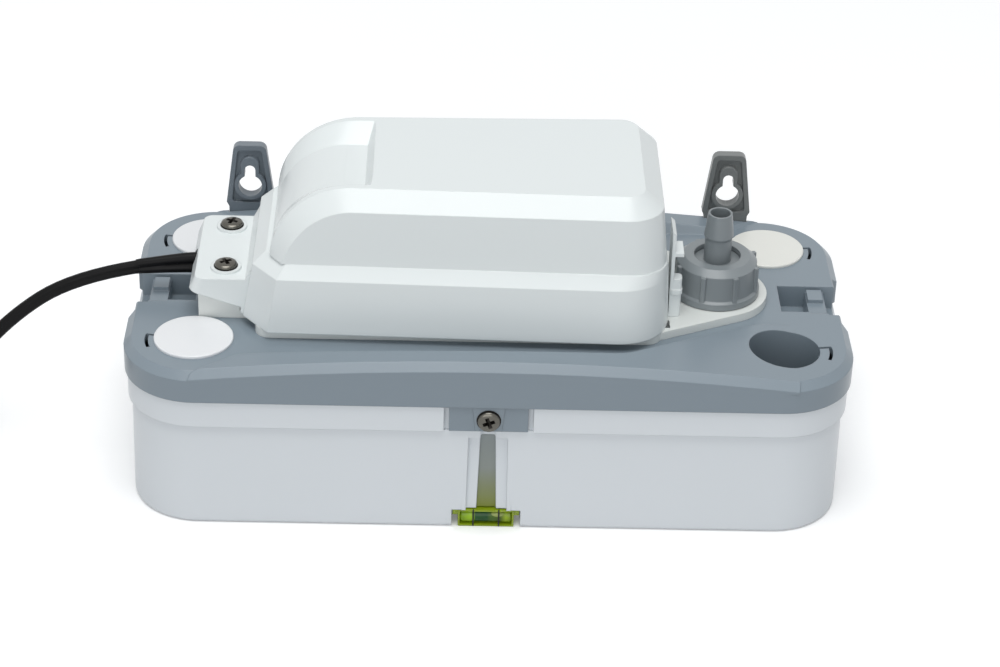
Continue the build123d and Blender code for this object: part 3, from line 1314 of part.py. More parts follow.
COIL_X = -252.0
COIL_Y = 34.0
COIL_H = COIL_LAYERS * CORD_D
CORD_ROUTE = [
    (-137, -0.6, 77.8),
    (-163, -1.5, 73),
    (-190, -3, 54),
    (-211, -4, 27.5),
    (-228, -4, 9),
    (-240, -3, 3.2),
]
PLUG_TURN = 125
TAIL_TURNS = ((195, 19.2), (175, 19.7), (155, 21.6), (138, 24.4), (PLUG_TURN - 2, 25.7))
tail_route = [
    (
        COIL_X + COIL_R * math.cos(math.radians(turn)),
        COIL_Y + COIL_R * math.sin(math.radians(turn)),
        z,
    )
    for turn, z in TAIL_TURNS
]


def cord_radii(points):
    """Arc at each corner of a route: as large as its shorter run allows."""
    radii = []
    for before, here, after in zip(points, points[1:], points[2:]):
        run_in = Vector(*here) - Vector(*before)
        run_out = Vector(*after) - Vector(*here)
        half_turn = math.radians(run_in.get_angle(run_out) / 2)
        radii.append(0.45 * min(run_in.length, run_out.length) / math.tan(half_turn))
    return radii


for name, route in (("cord", CORD_ROUTE), ("cord_tail", tail_route)):
    radii = cord_radii(route)
    print(name, "radii", [round(r, 1) for r in radii])
    with BuildPart() as tube:
        with BuildLine() as path:
            FilletPolyline(*route, radius=radii)
        with BuildSketch(Plane(origin=path.wire() @ 0, z_dir=path.wire() % 0)):
            Circle(CORD_D / 2)
        sweep()
    run = path.wire().length
    section = math.pi * CORD_D**2 / 4
    print(name, "length", round(run), "volume ratio", round(tube.part.volume / run / section, 4))
    save(tube.part, name)

with BuildPart() as coil:
    with BuildSketch(Plane.XY):
        with Locations((COIL_X, COIL_Y)):
            Circle(COIL_R + 1.5 * CORD_D)
            Circle(COIL_R - 1.5 * CORD_D, mode=Mode.SUBTRACT)
    extrude(amount=COIL_H)
    chamfer(coil.edges(), length=CORD_D / 4)
save(coil.part, "cord_coil")

plug_turn = math.radians(PLUG_TURN)
PLUG_W = 25.0
PLUG_T = 18.0
plug_start = Vector(
    COIL_X + COIL_R * math.cos(plug_turn), COIL_Y + COIL_R * math.sin(plug_turn), COIL_H + 0.2 + PLUG_T / 2
)
plug_way = Vector(math.sin(plug_turn), -math.cos(plug_turn), 0)
plug_plane = Plane(origin=plug_start, x_dir=(0, 0, 1), z_dir=plug_way)
PLUG_NECK = 14.0
with BuildPart() as plug:
    with BuildSketch(plug_plane):
        Circle(CORD_D / 2 + 1.4)
    with BuildSketch(plug_plane.offset(PLUG_NECK)):
        Circle(PLUG_T / 2 - 1)
    loft()
    with BuildSketch(plug_plane.offset(PLUG_NECK - 2)):
        RectangleRounded(PLUG_T, PLUG_W, 6)
    extrude(amount=PLUG_LENGTH - PLUG_NECK + 2)
save(plug.part, "plug")

with BuildPart() as blades:
    with BuildSketch(plug_plane.offset(PLUG_LENGTH)):
        with Locations((1.5, -6.35), (1.5, 6.35)):
            Rectangle(6.3, 1.5)
    extrude(amount=17)
    with BuildSketch(plug_plane.offset(PLUG_LENGTH)):
        with Locations((-5.4, 0)):
            Circle(2.4)
    extrude(amount=19)
save(blades.part, "plug_blades")
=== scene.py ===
import math

import bmesh
import bpy
from mathutils import Matrix, Vector


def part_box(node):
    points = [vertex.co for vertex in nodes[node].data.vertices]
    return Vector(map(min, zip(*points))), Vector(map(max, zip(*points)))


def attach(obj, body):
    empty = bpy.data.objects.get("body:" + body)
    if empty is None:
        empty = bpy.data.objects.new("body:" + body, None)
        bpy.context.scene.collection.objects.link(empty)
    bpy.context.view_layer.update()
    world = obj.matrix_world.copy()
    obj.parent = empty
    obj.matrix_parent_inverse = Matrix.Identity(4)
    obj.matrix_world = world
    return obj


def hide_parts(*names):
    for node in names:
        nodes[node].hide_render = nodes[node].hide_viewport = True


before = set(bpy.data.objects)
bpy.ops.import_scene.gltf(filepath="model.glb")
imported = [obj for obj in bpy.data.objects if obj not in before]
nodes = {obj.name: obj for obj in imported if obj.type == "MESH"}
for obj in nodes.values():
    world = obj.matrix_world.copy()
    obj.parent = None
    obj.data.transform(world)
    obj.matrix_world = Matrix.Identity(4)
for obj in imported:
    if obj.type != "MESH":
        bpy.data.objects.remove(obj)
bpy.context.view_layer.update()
scene = bpy.context.scene
MM = 0.001


# ---- helpers --------------------------------------------------------------------------------------
def mesh_object(name, bm):
    mesh = bpy.data.meshes.new(name)
    bm.to_mesh(mesh)
    bm.free()
    piece = bpy.data.objects.new(name, mesh)
    scene.collection.objects.link(piece)
    return piece


def shade_smooth(piece, angle=35):
    bpy.context.view_layer.objects.active = piece
    piece.select_set(True)
    bpy.ops.object.shade_smooth_by_angle(angle=math.radians(angle))
    piece.select_set(False)


def lathe(bm, profile, segments=48):
    """A closed surface turned about Z from (radius, height) points that start and end on the axis."""
    rings = []
    for radius, height in profile:
        if radius < 1e-7:
            rings.append([bm.verts.new((0, 0, height))])
            continue
        rings.append([
            bm.verts.new((radius * math.cos(turn), radius * math.sin(turn), height))
            for turn in (2 * math.pi * i / segments for i in range(segments))
        ])
    for low, high in zip(rings, rings[1:]):
        for i in range(segments):
            j = (i + 1) % segments
            corners = [low[i % len(low)], low[j % len(low)], high[j % len(high)], high[i % len(high)]]
            unique = list(dict.fromkeys(corners))
            if len(unique) > 2:
                bm.faces.new(unique)
    bmesh.ops.recalc_face_normals(bm, faces=bm.faces)


def loft(name, sections):
    """A closed mesh through sections, each a ring of as many points."""
    bm = bmesh.new()
    rings = [[bm.verts.new(point) for point in ring] for ring in sections]
    for low, high in zip(rings, rings[1:]):
        for i in range(len(low)):
            j = (i + 1) % len(low)
            bm.faces.new((low[i], low[j], high[j], high[i]))
    bm.faces.new(rings[0])
    bm.faces.new(list(reversed(rings[-1])))
    bmesh.ops.recalc_face_normals(bm, faces=bm.faces)
    return mesh_object(name, bm)


def place(piece, origin, axis):
    """Turns a piece built about Z so that Z points along axis, and puts its origin at origin."""
    turn = Vector(axis).to_track_quat("Z", "Y").to_matrix().to_4x4()
    piece.matrix_world = Matrix.Translation(origin) @ turn


def cut(piece, tool):
    """Takes the tool's volume out of the piece."""
    modifier = piece.modifiers.new("cut", "BOOLEAN")
    modifier.operation = "DIFFERENCE"
    modifier.solver = "EXACT"
    modifier.object = tool
    depsgraph = bpy.context.evaluated_depsgraph_get()
    mesh = bpy.data.meshes.new_from_object(piece.evaluated_get(depsgraph))
    piece.modifiers.remove(modifier)
    piece.data = mesh
    bpy.data.objects.remove(tool)


# ---- materials ------------------------------------------------------------------------------------
PLASTIC_IOR = 1.49
FLOW_SCALE = 9                       # noise scales are turns per metre
SHEEN_SCALE = 40
SHEEN_SPREAD = 0.015
SOFT_EDGE = 0.55 * MM
EDGE_SAMPLES = 6


class Surface:
    """A Principled material under construction, in object coordinates, which are metres."""

    def __init__(self, name, color, roughness, metallic=0.0):
        self.material = bpy.data.materials.new(name)
        self.material.use_nodes = True
        self.tree = self.material.node_tree
        self.shader = self.tree.nodes["Principled BSDF"]
        self.color = color
        self.shader.inputs["Base Color"].default_value = (*color, 1)
        self.shader.inputs["Roughness"].default_value = roughness
        self.shader.inputs["Metallic"].default_value = metallic
        self.place = self.tree.nodes.new("ShaderNodeTexCoord").outputs["Object"]
        self.bumps = None

    def link(self, output, socket):
        self.tree.links.new(output, socket)

    def noise(self, scale, detail=3.0, stretch=None):
        node = self.tree.nodes.new("ShaderNodeTexNoise")
        node.inputs["Scale"].default_value = scale
        node.inputs["Detail"].default_value = detail
        source = self.place
        if stretch:
            mapping = self.tree.nodes.new("ShaderNodeMapping")
            mapping.inputs["Scale"].default_value = stretch
            self.link(source, mapping.inputs["Vector"])
            source = mapping.outputs["Vector"]
        self.link(source, node.inputs["Vector"])
        return node.outputs["Fac"]

    def wave(self, scale, direction, distortion=0.0):
        node = self.tree.nodes.new("ShaderNodeTexWave")
        node.bands_direction = direction
        node.inputs["Scale"].default_value = scale
        node.inputs["Distortion"].default_value = distortion
        self.link(self.place, node.inputs["Vector"])
        return node.outputs["Fac"]

    def remap(self, value, low, high, from_low=0.3, from_high=0.7):
        node = self.tree.nodes.new("ShaderNodeMapRange")
        node.inputs["From Min"].default_value = from_low
        node.inputs["From Max"].default_value = from_high
        node.inputs["To Min"].default_value = low
        node.inputs["To Max"].default_value = high
        self.link(value, node.inputs["Value"])
        return node.outputs["Result"]

    def along(self, axis):
        """The object coordinate on one axis."""
        node = self.tree.nodes.new("ShaderNodeSeparateXYZ")
        self.link(self.place, node.inputs["Vector"])
        return node.outputs[axis]

    def mottle(self, value, amount):
        """Varies the base colour between itself and a shade darker by amount."""
        dark = tuple(c * (1 - amount) for c in self.color)
        node = self.tree.nodes.new("ShaderNodeMix")
        node.data_type = "RGBA"
        node.inputs["A"].default_value = (*dark, 1)
        node.inputs["B"].default_value = (*self.color, 1)
        self.link(value, node.inputs["Factor"])
        self.link(node.outputs["Result"], self.shader.inputs["Base Color"])
        return self

    def ramp(self, value, stops):
        """Runs the base colour through (position, colour) stops."""
        node = self.tree.nodes.new("ShaderNodeValToRGB")
        points = node.color_ramp.elements
        for position, _ in stops[1:-1]:
            points.new(position)
        for point, (position, color) in zip(points, stops):
            point.position = position
            point.color = (*color, 1)
        self.link(value, node.inputs["Fac"])
        self.link(node.outputs["Color"], self.shader.inputs["Base Color"])
        return self

    def round_edges(self, radius):
        """Shades sharp edges as if rounded by radius; comes before any bump."""
        node = self.tree.nodes.new("ShaderNodeBevel")
        node.samples = EDGE_SAMPLES
        node.inputs["Radius"].default_value = radius
        self.bumps = node.outputs["Normal"]
        return self

    def rough(self, value, low, high):
        self.link(self.remap(value, low, high), self.shader.inputs["Roughness"])
        return self

    def bump(self, value, depth, strength=1.0):
        node = self.tree.nodes.new("ShaderNodeBump")
        node.inputs["Distance"].default_value = depth
        node.inputs["Strength"].default_value = strength
        self.link(value, node.inputs["Height"])
        if self.bumps:
            self.link(self.bumps, node.inputs["Normal"])
        self.bumps = node.outputs["Normal"]
        self.link(self.bumps, self.shader.inputs["Normal"])
        return self


def plastic(name, color, roughness, grain=1400, depth=0.014 * MM, flow=0.03):
    """Moulded plastic: a fine spark-eroded grain, faint flow clouds and a sheen that varies a little."""
    surface = Surface(name, color, roughness)
    surface.mottle(surface.remap(surface.noise(FLOW_SCALE, 2), 0, 1, 0.15, 0.85), flow)
    surface.rough(surface.noise(SHEEN_SCALE, 2), roughness - SHEEN_SPREAD, roughness + SHEEN_SPREAD)
    surface.round_edges(SOFT_EDGE)
    surface.bump(surface.noise(grain, 2), depth, 0.3)
    surface.shader.inputs["IOR"].default_value = PLASTIC_IOR
    return surface


def metal(name, color, roughness, stretch=(1, 1, 1), scale=700):
    """Bare or plated metal with drawn or cast marks."""
    surface = Surface(name, color, roughness, 1.0)
    surface.mottle(surface.remap(surface.noise(90, 4), 0, 1), 0.12)
    surface.rough(surface.noise(scale, 3, stretch), roughness - 0.07, roughness + 0.1)
    surface.bump(surface.noise(scale, 2, stretch), 0.02 * MM, 0.3)
    return surface


def laminations(name):
    """Edges of thin stacked sheets: fine bands along Z, and scale on the faces."""
    surface = Surface(name, (0.27, 0.28, 0.30), 0.42, 0.85)
    bands = surface.wave(320, "Z", 0.4)
    surface.mottle(surface.remap(bands, 0, 1, 0.1, 0.5), 0.5)
    surface.rough(surface.noise(300, 4), 0.34, 0.55)
    surface.bump(bands, 0.12 * MM, 0.6)
    return surface


def windings(name):
    """Enamelled wire laid turn by turn."""
    surface = Surface(name, (0.50, 0.17, 0.06), 0.28, 0.75)
    turns = surface.wave(420, "Z", 0.6)
    surface.mottle(surface.remap(turns, 0, 1, 0.0, 0.6), 0.55)
    surface.rough(surface.noise(160, 4), 0.2, 0.4)
    surface.bump(turns, 0.25 * MM, 0.8)
    return surface


def sheath(name):
    """Cord sheath: near-black rubber with a soft gloss and a faint extruded texture."""
    surface = Surface(name, (0.0035, 0.0035, 0.004), 0.42)
    surface.rough(surface.noise(120, 4), 0.34, 0.52)
    surface.mottle(surface.remap(surface.noise(60, 3), 0, 1), 0.25)
    surface.shader.inputs["Specular IOR Level"].default_value = 0.14
    surface.bump(surface.noise(1100, 3), 0.03 * MM, 0.4)
    return surface


def clear_tint(name, color, roughness, clear):
    """Clear tinted plastic with a little haze."""
    surface = Surface(name, color, roughness)
    surface.shader.inputs["Transmission Weight"].default_value = clear
    surface.shader.inputs["IOR"].default_value = PLASTIC_IOR
    surface.mottle(surface.remap(surface.noise(140, 3), 0, 1), 0.1)
    surface.bump(surface.noise(260, 3), 0.04 * MM, 0.25)
    return surface


def vial_fluid(name):
    """The level's fluid, dark in the middle and bright where light gathers at both ends of the vial."""
    surface = clear_tint(name, (0.03, 0.14, 0.025), 0.04, 0.1)
    surface.shader.inputs["Specular IOR Level"].default_value = 0.25
    reach = 9.7 * MM
    surface.ramp(surface.remap(surface.along("Z"), 0, 1, -reach, reach), (
        (0.0, (0.20, 0.34, 0.01)),
        (0.2, (0.34, 0.56, 0.012)),
        (0.25, (0.30, 0.50, 0.012)),
        (0.29, (0.015, 0.085, 0.014)),
        (0.52, (0.012, 0.075, 0.018)),
        (0.6, (0.06, 0.14, 0.015)),
        (0.8, (0.08, 0.13, 0.012)),
        (0.9, (0.32, 0.46, 0.015)),
        (1.0, (0.2, 0.3, 0.01)),
    ))
    return surface


def channel_with_painted_reflection(name):
    """The sight channel: grey at the top, turning green towards its foot, where the green is a painted
    reflection of the level below.
    """
    surface = Surface(name, (0.25, 0.28, 0.28), 0.3)
    # the green stops towards the foot paint the reflection of the green level below
    surface.ramp(surface.remap(surface.along("Z"), 0, 1, 0.008, 0.040), (
        (0.0, (0.17, 0.20, 0.012)),
        (0.3, (0.20, 0.225, 0.12)),
        (0.55, (0.235, 0.26, 0.24)),
        (1.0, (0.25, 0.28, 0.28)),
    ))
    surface.bump(surface.noise(900, 2), 0.01 * MM, 0.4)
    return surface


RESERVOIR = plastic("reservoir_plastic", (0.70, 0.735, 0.765), 0.32, grain=1100, flow=0.025)
LID = plastic("lid_plastic", (0.216, 0.262, 0.301), 0.30, grain=1500, flow=0.012)
COVER = plastic("cover_plastic", (0.745, 0.785, 0.785), 0.25, grain=1900, depth=0.01 * MM, flow=0.015)
CAP = plastic("cap_plastic", (0.79, 0.80, 0.815), 0.32, grain=1600, flow=0.02)
CAP_WARM = plastic("cap_plastic_warm", (0.77, 0.77, 0.725), 0.32, grain=1600, flow=0.02)
BASE = plastic("base_plastic", (0.73, 0.755, 0.735), 0.34, grain=1200, flow=0.04)
FITTING = plastic("fitting_plastic", (0.215, 0.240, 0.253), 0.30, grain=1300, flow=0.03)
HANGER = plastic("hanger_plastic", (0.165, 0.195, 0.225), 0.33, grain=1300, flow=0.04)
# the right hanger is the same material as the left, painted lighter and more neutral for the stronger
# light falling on the object's right
HANGER_RIGHT_LIT = plastic("hanger_plastic_right_lit", (0.185, 0.195, 0.195), 0.33, grain=1300, flow=0.04)
PUMP = plastic("pump_plastic", (0.045, 0.047, 0.05), 0.45, grain=900, flow=0.08)
FLOAT = plastic("float_plastic", (0.70, 0.69, 0.64), 0.5, grain=500, depth=0.08 * MM, flow=0.05)
BOBBIN = plastic("bobbin_plastic", (0.60, 0.57, 0.50), 0.4, grain=1200, flow=0.05)
SWITCH = plastic("switch_plastic", (0.02, 0.02, 0.022), 0.35, grain=1600, flow=0.1)
SEAL = plastic("seal_rubber", (0.02, 0.02, 0.02), 0.6, grain=700, depth=0.06 * MM, flow=0.2)
NICKEL = metal("plated_steel", (0.13, 0.125, 0.11), 0.18)
# near-black metal that paints shade: in the cross recess and in the shadow gap round a seated head
RECESS_SHADE = metal("screw_recess_shade", (0.035, 0.033, 0.03), 0.5)
SHAFT = metal("shaft_steel", (0.60, 0.60, 0.61), 0.2, stretch=(1, 1, 8), scale=500)
BRACKET = metal("bracket_steel", (0.55, 0.56, 0.58), 0.32)
BRONZE = metal("bearing_bronze", (0.40, 0.26, 0.12), 0.45, scale=1500)
BRASS = metal("blade_brass", (0.70, 0.56, 0.28), 0.24, stretch=(6, 1, 1))
STACK = laminations("lamination_steel")
WIRE = windings("copper_wire")
SHEATH = sheath("cord_sheath")
LEVEL_BODY = clear_tint("level_plastic", (0.42, 0.56, 0.015), 0.08, 0.4)
LEVEL_FLUID = vial_fluid("level_fluid")
LEVEL_LINE = plastic("level_line_ink", (0.004, 0.0045, 0.004), 0.7)
BUBBLE = clear_tint("level_bubble", (0.36, 0.44, 0.10), 0.05, 0.2)
# the sight channel, green towards its foot with a painted reflection of the level
CHANNEL_WITH_REFLECTION = channel_with_painted_reflection("sight_channel_painted_reflection")

LOOKS = {
    RESERVOIR: ["reservoir"],
    LID: ["lid"],
    COVER: ["motor_cover", "cover_catch"],
    CAP: ["cap_front_left", "cap_back_left"],
    CAP_WARM: ["cap_back_right"],
    BASE: ["pump_base"],
    FITTING: ["hose_barb", "union_nut"],
    HANGER: ["hanger_left"],
    HANGER_RIGHT_LIT: ["hanger_right"],
    PUMP: ["pump_housing", "suction_plate", "cooling_fan", "impeller"],
    FLOAT: ["float", "float_rod"],
    BOBBIN: ["bobbin"],
    SWITCH: ["run_switch", "switch_button"],
    SEAL: ["outlet_gasket", "valve_seat", "valve_ball"],
    NICKEL: ["lid_screw_front", "lid_screw_back", "neck_screw_front", "neck_screw_back",
             "motor_bolt_front", "motor_bolt_back"],
    SHAFT: ["motor_shaft", "switch_lever", "lever_pin"],
    BRACKET: ["bracket_lower", "bracket_upper", "switch_stand"],
    BRONZE: ["bearing_lower", "bearing_upper"],
    BRASS: ["plug_blades"],
    STACK: ["stator_stack", "rotor"],
    WIRE: ["motor_winding"],
    SHEATH: ["strain_relief", "cord", "cord_coil", "cord_tail", "plug"],
    LEVEL_BODY: ["spirit_level"],
    LEVEL_FLUID: ["level_liquid"],
}
for surface, members in LOOKS.items():
    for member in members:
        slots = nodes[member].data.materials
        slots.clear()
        slots.append(surface.material)


def finish_piece(piece, surface, body):
    """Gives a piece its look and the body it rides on."""
    piece.data.materials.clear()
    piece.data.materials.append(surface.material)
    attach(piece, body)
    return piece


# ---- screws ---------------------------------------------------------------------------------------
HEAD_R = 4.3 * MM
HEAD_H = 2.0 * MM
HEAD_DOME = 0.55 * HEAD_H
DOME_STEPS = 8
DOME_FULLNESS = 0.6
SHANK_R = 2.0 * MM
SHADOW_RING = 0.35 * MM                     # a dark ring round the head's foot, painted shadow of the gap round a seated head
SHADOW_RING_H = 0.2 * MM
CROSS_REACH = 2.7 * MM
CROSS_WIDTH = 1.7 * MM
CROSS_DEPTH = 1.6 * MM
CROSS_FOOT = 0.4                     # size of the recess's foot, as a share of its mouth
SKIN = 0.1 * MM


def cross_tool(reach, width, depth):
    """Tapered cross of a Phillips recess, about Z, its mouth just above z = 0."""
    bm = bmesh.new()
    rings = []
    for share, height in ((1.0, 0.3 * MM), (CROSS_FOOT, -depth)):
        arm, half = reach * share, width / 2 * share
        corners = ((half, -half), (arm, -half), (arm, half))
        outline = []
        for quarter in range(4):
            spin = Matrix.Rotation(quarter * math.pi / 2, 4, "Z")
            outline += [spin @ Vector((x, y, height)) for x, y in corners]
        rings.append([bm.verts.new(point) for point in outline])
    mouth, foot = rings
    bm.faces.new(mouth)
    bm.faces.new(list(reversed(foot)))
    for i in range(len(mouth)):
        j = (i + 1) % len(mouth)
        bm.faces.new((mouth[i], foot[i], foot[j], mouth[j]))
    bmesh.ops.recalc_face_normals(bm, faces=bm.faces)
    return bm


def screw_profile(shank):
    """(radius, height) points from the shank's tip to the top of the domed head."""
    profile = [
        (0, -shank),
        (SHANK_R * 0.6, -shank),
        (SHANK_R, -shank + SHANK_R),
        (SHANK_R, 0),
        (HEAD_R - SKIN, 0),
        (HEAD_R + SHADOW_RING, 0),
        (HEAD_R + SHADOW_RING, SHADOW_RING_H),
        (HEAD_R - SKIN, SHADOW_RING_H),
        (HEAD_R, SHADOW_RING_H + 1.2 * SKIN),
        (HEAD_R, HEAD_H - HEAD_DOME),
    ]
    for step in range(1, DOME_STEPS):
        angle = step / DOME_STEPS * math.pi / 2
        radius = HEAD_R * math.cos(angle) ** DOME_FULLNESS
        profile.append((radius, HEAD_H - HEAD_DOME + HEAD_DOME * math.sin(angle)))
    profile.append((0, HEAD_H))
    return profile


def in_painted_shade(face):
    """Whether a face gets the painted shade: in the recess, or on the ring under the head that paints
    its shadow gap.
    """
    radius, height = Vector(face.center).xy.length, face.center.z
    in_cross = radius < CROSS_REACH + SKIN
    on_wall = abs(face.normal.z) < 0.85 and 0 < height < HEAD_H - 1.5 * SKIN
    on_floor = 0 < height < HEAD_H - 9 * SKIN
    on_shadow_ring = radius > HEAD_R - 3 * SKIN and -SKIN / 10 < height < SHADOW_RING_H + SKIN / 10
    return in_cross and (on_wall or on_floor) or on_shadow_ring


def pan_screw(name, seat, axis, shank, turn):
    """Pan-head screw with a cross recess. The head bears at seat, and axis points out of the head."""
    bm = bmesh.new()
    lathe(bm, screw_profile(shank))
    piece = mesh_object(name + "_phillips", bm)
    bars = cross_tool(CROSS_REACH, CROSS_WIDTH, CROSS_DEPTH)
    bmesh.ops.translate(bars, verts=bars.verts, vec=(0, 0, HEAD_H))
    bmesh.ops.rotate(bars, verts=bars.verts, cent=(0, 0, 0), matrix=Matrix.Rotation(turn, 3, "Z"))
    cut(piece, mesh_object("recess_tool", bars))
    place(piece, seat, axis)
    shade_smooth(piece)
    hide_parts(name)
    finish_piece(piece, NICKEL, "tank")
    # the recess and the ring under the head get near-black metal, painted shade
    piece.data.materials.append(RECESS_SHADE.material)
    for face in piece.data.polygons:
        if in_painted_shade(face):
            face.material_index = 1


def head_seat(name, axis):
    """Where the head of a CAD screw bears, and how long its shank is."""
    low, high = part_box(name)
    middle = (low + high) / 2
    axis = Vector(axis)
    outer = high if sum(axis) > 0 else low
    top = Vector([outer[i] if axis[i] else middle[i] for i in range(3)])
    length = (high - low).dot(Vector([abs(a) for a in axis]))
    return top - axis * HEAD_H, length - HEAD_H


for name, axis, turn in (
    ("lid_screw_front", (0, -1, 0), 0.35),
    ("lid_screw_back", (0, 1, 0), 1.0),
    ("neck_screw_front", (0, 0, 1), 0.5),
    ("neck_screw_back", (0, 0, 1), 1.15),
):
    seat, shank = head_seat(name, axis)
    pan_screw(name, seat, axis, shank, turn)

# ---- reservoir: fuller at its foot than the CAD solid, in mm --------------------------------------
FOOT_L, FOOT_W, FOOT_CORNER = 136.0, 61.0, 25.0
FLANK_OUT = 1.5                      # the flanks lean out by this much up to the rim band
BAND_Z = 44.5
FOOT_R = 5.0                         # edge round the node's underside
FOOT_R_NEW = 1.8                     # the same edge on the piece
ON_EDGE = 0.3                        # how near that edge's arc a point belongs to it
WIDEN = 2.0
FADE_FROM, FADE_TO = 10.0, 14.0      # depths in from the flank over which the widening dies out


def flank_offset(z):
    """How far the foot is widened at a height."""
    return WIDEN * max(0.0, 1 - z / BAND_Z)


def depth_and_way(x, y, lean):
    """How deep a point lies inside the flanks, and the way out of them from there."""
    corner = FOOT_CORNER + lean
    past_x = abs(x) - (FOOT_L + lean - corner)
    past_y = abs(y) - (FOOT_W + lean - corner)
    if past_x > 0 and past_y > 0:
        way = Vector((past_x, past_y))
        deep = corner - way.length
        way.normalize()
    else:
        way = Vector((1, 0)) if past_x > past_y else Vector((0, 1))
        deep = corner - max(past_x, past_y)
    return deep, Vector((math.copysign(way.x, x), math.copysign(way.y, y)))


def fuller_foot(name, node):
    """A copy of a node with wider flanks at the foot and a tighter edge round its underside."""
    bm = bmesh.new()
    bm.from_mesh(nodes[node].data)
    bmesh.ops.remove_doubles(bm, verts=bm.verts, dist=1e-6)
    for vert in bm.verts:
        x, y, z = (c / MM for c in vert.co)
        if z >= BAND_Z - 0.01:
            continue
        deep, way = depth_and_way(x, y, FLANK_OUT * z / BAND_Z)
        shift = flank_offset(z) * min(1, max(0, (FADE_TO - deep) / (FADE_TO - FADE_FROM)))
        in_edge = z < FOOT_R + 0.05 and deep < FOOT_R + 0.1
        if in_edge and abs(math.hypot(FOOT_R - deep, FOOT_R - z) - FOOT_R) < ON_EDGE:
            shift += deep * (1 - FOOT_R_NEW / FOOT_R)
            z *= FOOT_R_NEW / FOOT_R
        vert.co = Vector((x + way.x * shift, y + way.y * shift, z)) * MM
    piece = mesh_object(name, bm)
    for layer in [a for a in piece.data.attributes if a.name == "custom_normal"]:
        piece.data.attributes.remove(layer)
    shade_smooth(piece, 28)
    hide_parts(node)
    return piece


finish_piece(fuller_foot("reservoir_moulding", "reservoir"), RESERVOIR, "tank")

# ---- union nut: a little wider than the CAD solid -------------------------------------------------
NUT_WIDER = 1.055
NUT_BORE_R = 9 * MM                  # the widening starts here, so that the bore stays
NUT_SKIRT_R = 12 * MM


def wider_nut(name, node):
    """A copy of a node with its outside moved out from its axis."""
    bm = bmesh.new()
    bm.from_mesh(nodes[node].data)
    low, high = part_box(node)
    axis = (low + high) / 2
    for vert in bm.verts:
        away = Vector((vert.co.x - axis.x, vert.co.y - axis.y))
        share = min(1, max(0, (away.length - NUT_BORE_R) / (NUT_SKIRT_R - NUT_BORE_R)))
        away *= 1 + (NUT_WIDER - 1) * share
        vert.co.x, vert.co.y = axis.x + away.x, axis.y + away.y
    piece = mesh_object(name, bm)
    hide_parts(node)
    return piece


finish_piece(wider_nut("union_nut_moulding", "union_nut"), FITTING, "nut")

# ---- spirit level: clear body with an open front, vial, lines and bubble --------------------------
level_low, level_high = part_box("spirit_level")
LEVEL_FRONT = level_low.y - 1.9 * MM
LEVEL_BACK = level_high.y - 0.05 * MM
BODY_HALF = 10.9 * MM
LEVEL_TOP = level_high.z
EAR_HALF = level_high.x
EAR_FOOT = 4.9 * MM
EAR_FRONT = LEVEL_FRONT + 0.9 * MM
EAR_BACK = LEVEL_FRONT + 3.6 * MM
EAR_LAP = 0.3 * MM                   # how far the ears reach into the body
WINDOW_HALF = 10.1 * MM
WINDOW_Z0, WINDOW_Z1 = 0.85 * MM, 6.95 * MM
VIAL_R = 2.95 * MM
VIAL_END_R = VIAL_R - 0.5 * MM
VIAL_REACH = WINDOW_HALF - 0.1 * MM
VIAL_Z = (WINDOW_Z0 + WINDOW_Z1) / 2
VIAL_Y = LEVEL_FRONT + 3.05 * MM
LINE_HALF = 0.3 * MM
LINES = {"level_line_left": -4.9 * MM, "level_line_right": 5.0 * MM}
BUBBLE_X = 4.5 * MM
BUBBLE_RADII = (1.1 * MM, 1.45 * MM, 3.3 * MM, 1)


def block(bm, low, high, rounding=0.1 * MM):
    """A box with its edges slightly rounded."""
    made = bmesh.ops.create_cube(bm, size=1)["verts"]
    bmesh.ops.scale(bm, verts=made, vec=[h - l for l, h in zip(low, high)])
    bmesh.ops.translate(bm, verts=made, vec=[(h + l) / 2 for l, h in zip(low, high)])
    edges = list({edge for vert in made for edge in vert.link_edges})
    bmesh.ops.bevel(bm, geom=edges, offset=rounding, segments=2, affect="EDGES", profile=0.6)


def level_body(name):
    """The clear body with its window cut in, and an ear at each end of its top."""
    bm = bmesh.new()
    block(bm, (-BODY_HALF, LEVEL_FRONT, 0.02 * MM), (BODY_HALF, LEVEL_BACK, LEVEL_TOP), 0.5 * MM)
    piece = mesh_object(name, bm)
    bm = bmesh.new()
    window_back = VIAL_Y + VIAL_R + 0.1 * MM
    block(bm, (-WINDOW_HALF, LEVEL_FRONT - 1 * MM, WINDOW_Z0), (WINDOW_HALF, window_back, WINDOW_Z1))
    cut(piece, mesh_object("window_tool", bm))
    bm = bmesh.new()
    bm.from_mesh(piece.data)
    for inner, outer in ((EAR_LAP - BODY_HALF, -EAR_HALF), (BODY_HALF - EAR_LAP, EAR_HALF)):
        low = (min(inner, outer), EAR_FRONT, EAR_FOOT)
        block(bm, low, (max(inner, outer), EAR_BACK, LEVEL_TOP - 0.3 * MM))
    bm.to_mesh(piece.data)
    bm.free()
    shade_smooth(piece, 30)
    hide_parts("spirit_level")
    return piece


def level_vial(name):
    """The vial, lying along X behind the window."""
    bm = bmesh.new()
    chamfer = 0.6 * MM
    lathe(bm, [
        (0, -VIAL_REACH),
        (VIAL_END_R, -VIAL_REACH),
        (VIAL_R, -VIAL_REACH + chamfer),
        (VIAL_R, VIAL_REACH - chamfer),
        (VIAL_END_R, VIAL_REACH),
        (0, VIAL_REACH),
    ])
    piece = mesh_object(name, bm)
    place(piece, Vector((0, VIAL_Y, VIAL_Z)), (1, 0, 0))
    shade_smooth(piece)
    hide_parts("level_liquid")
    return piece


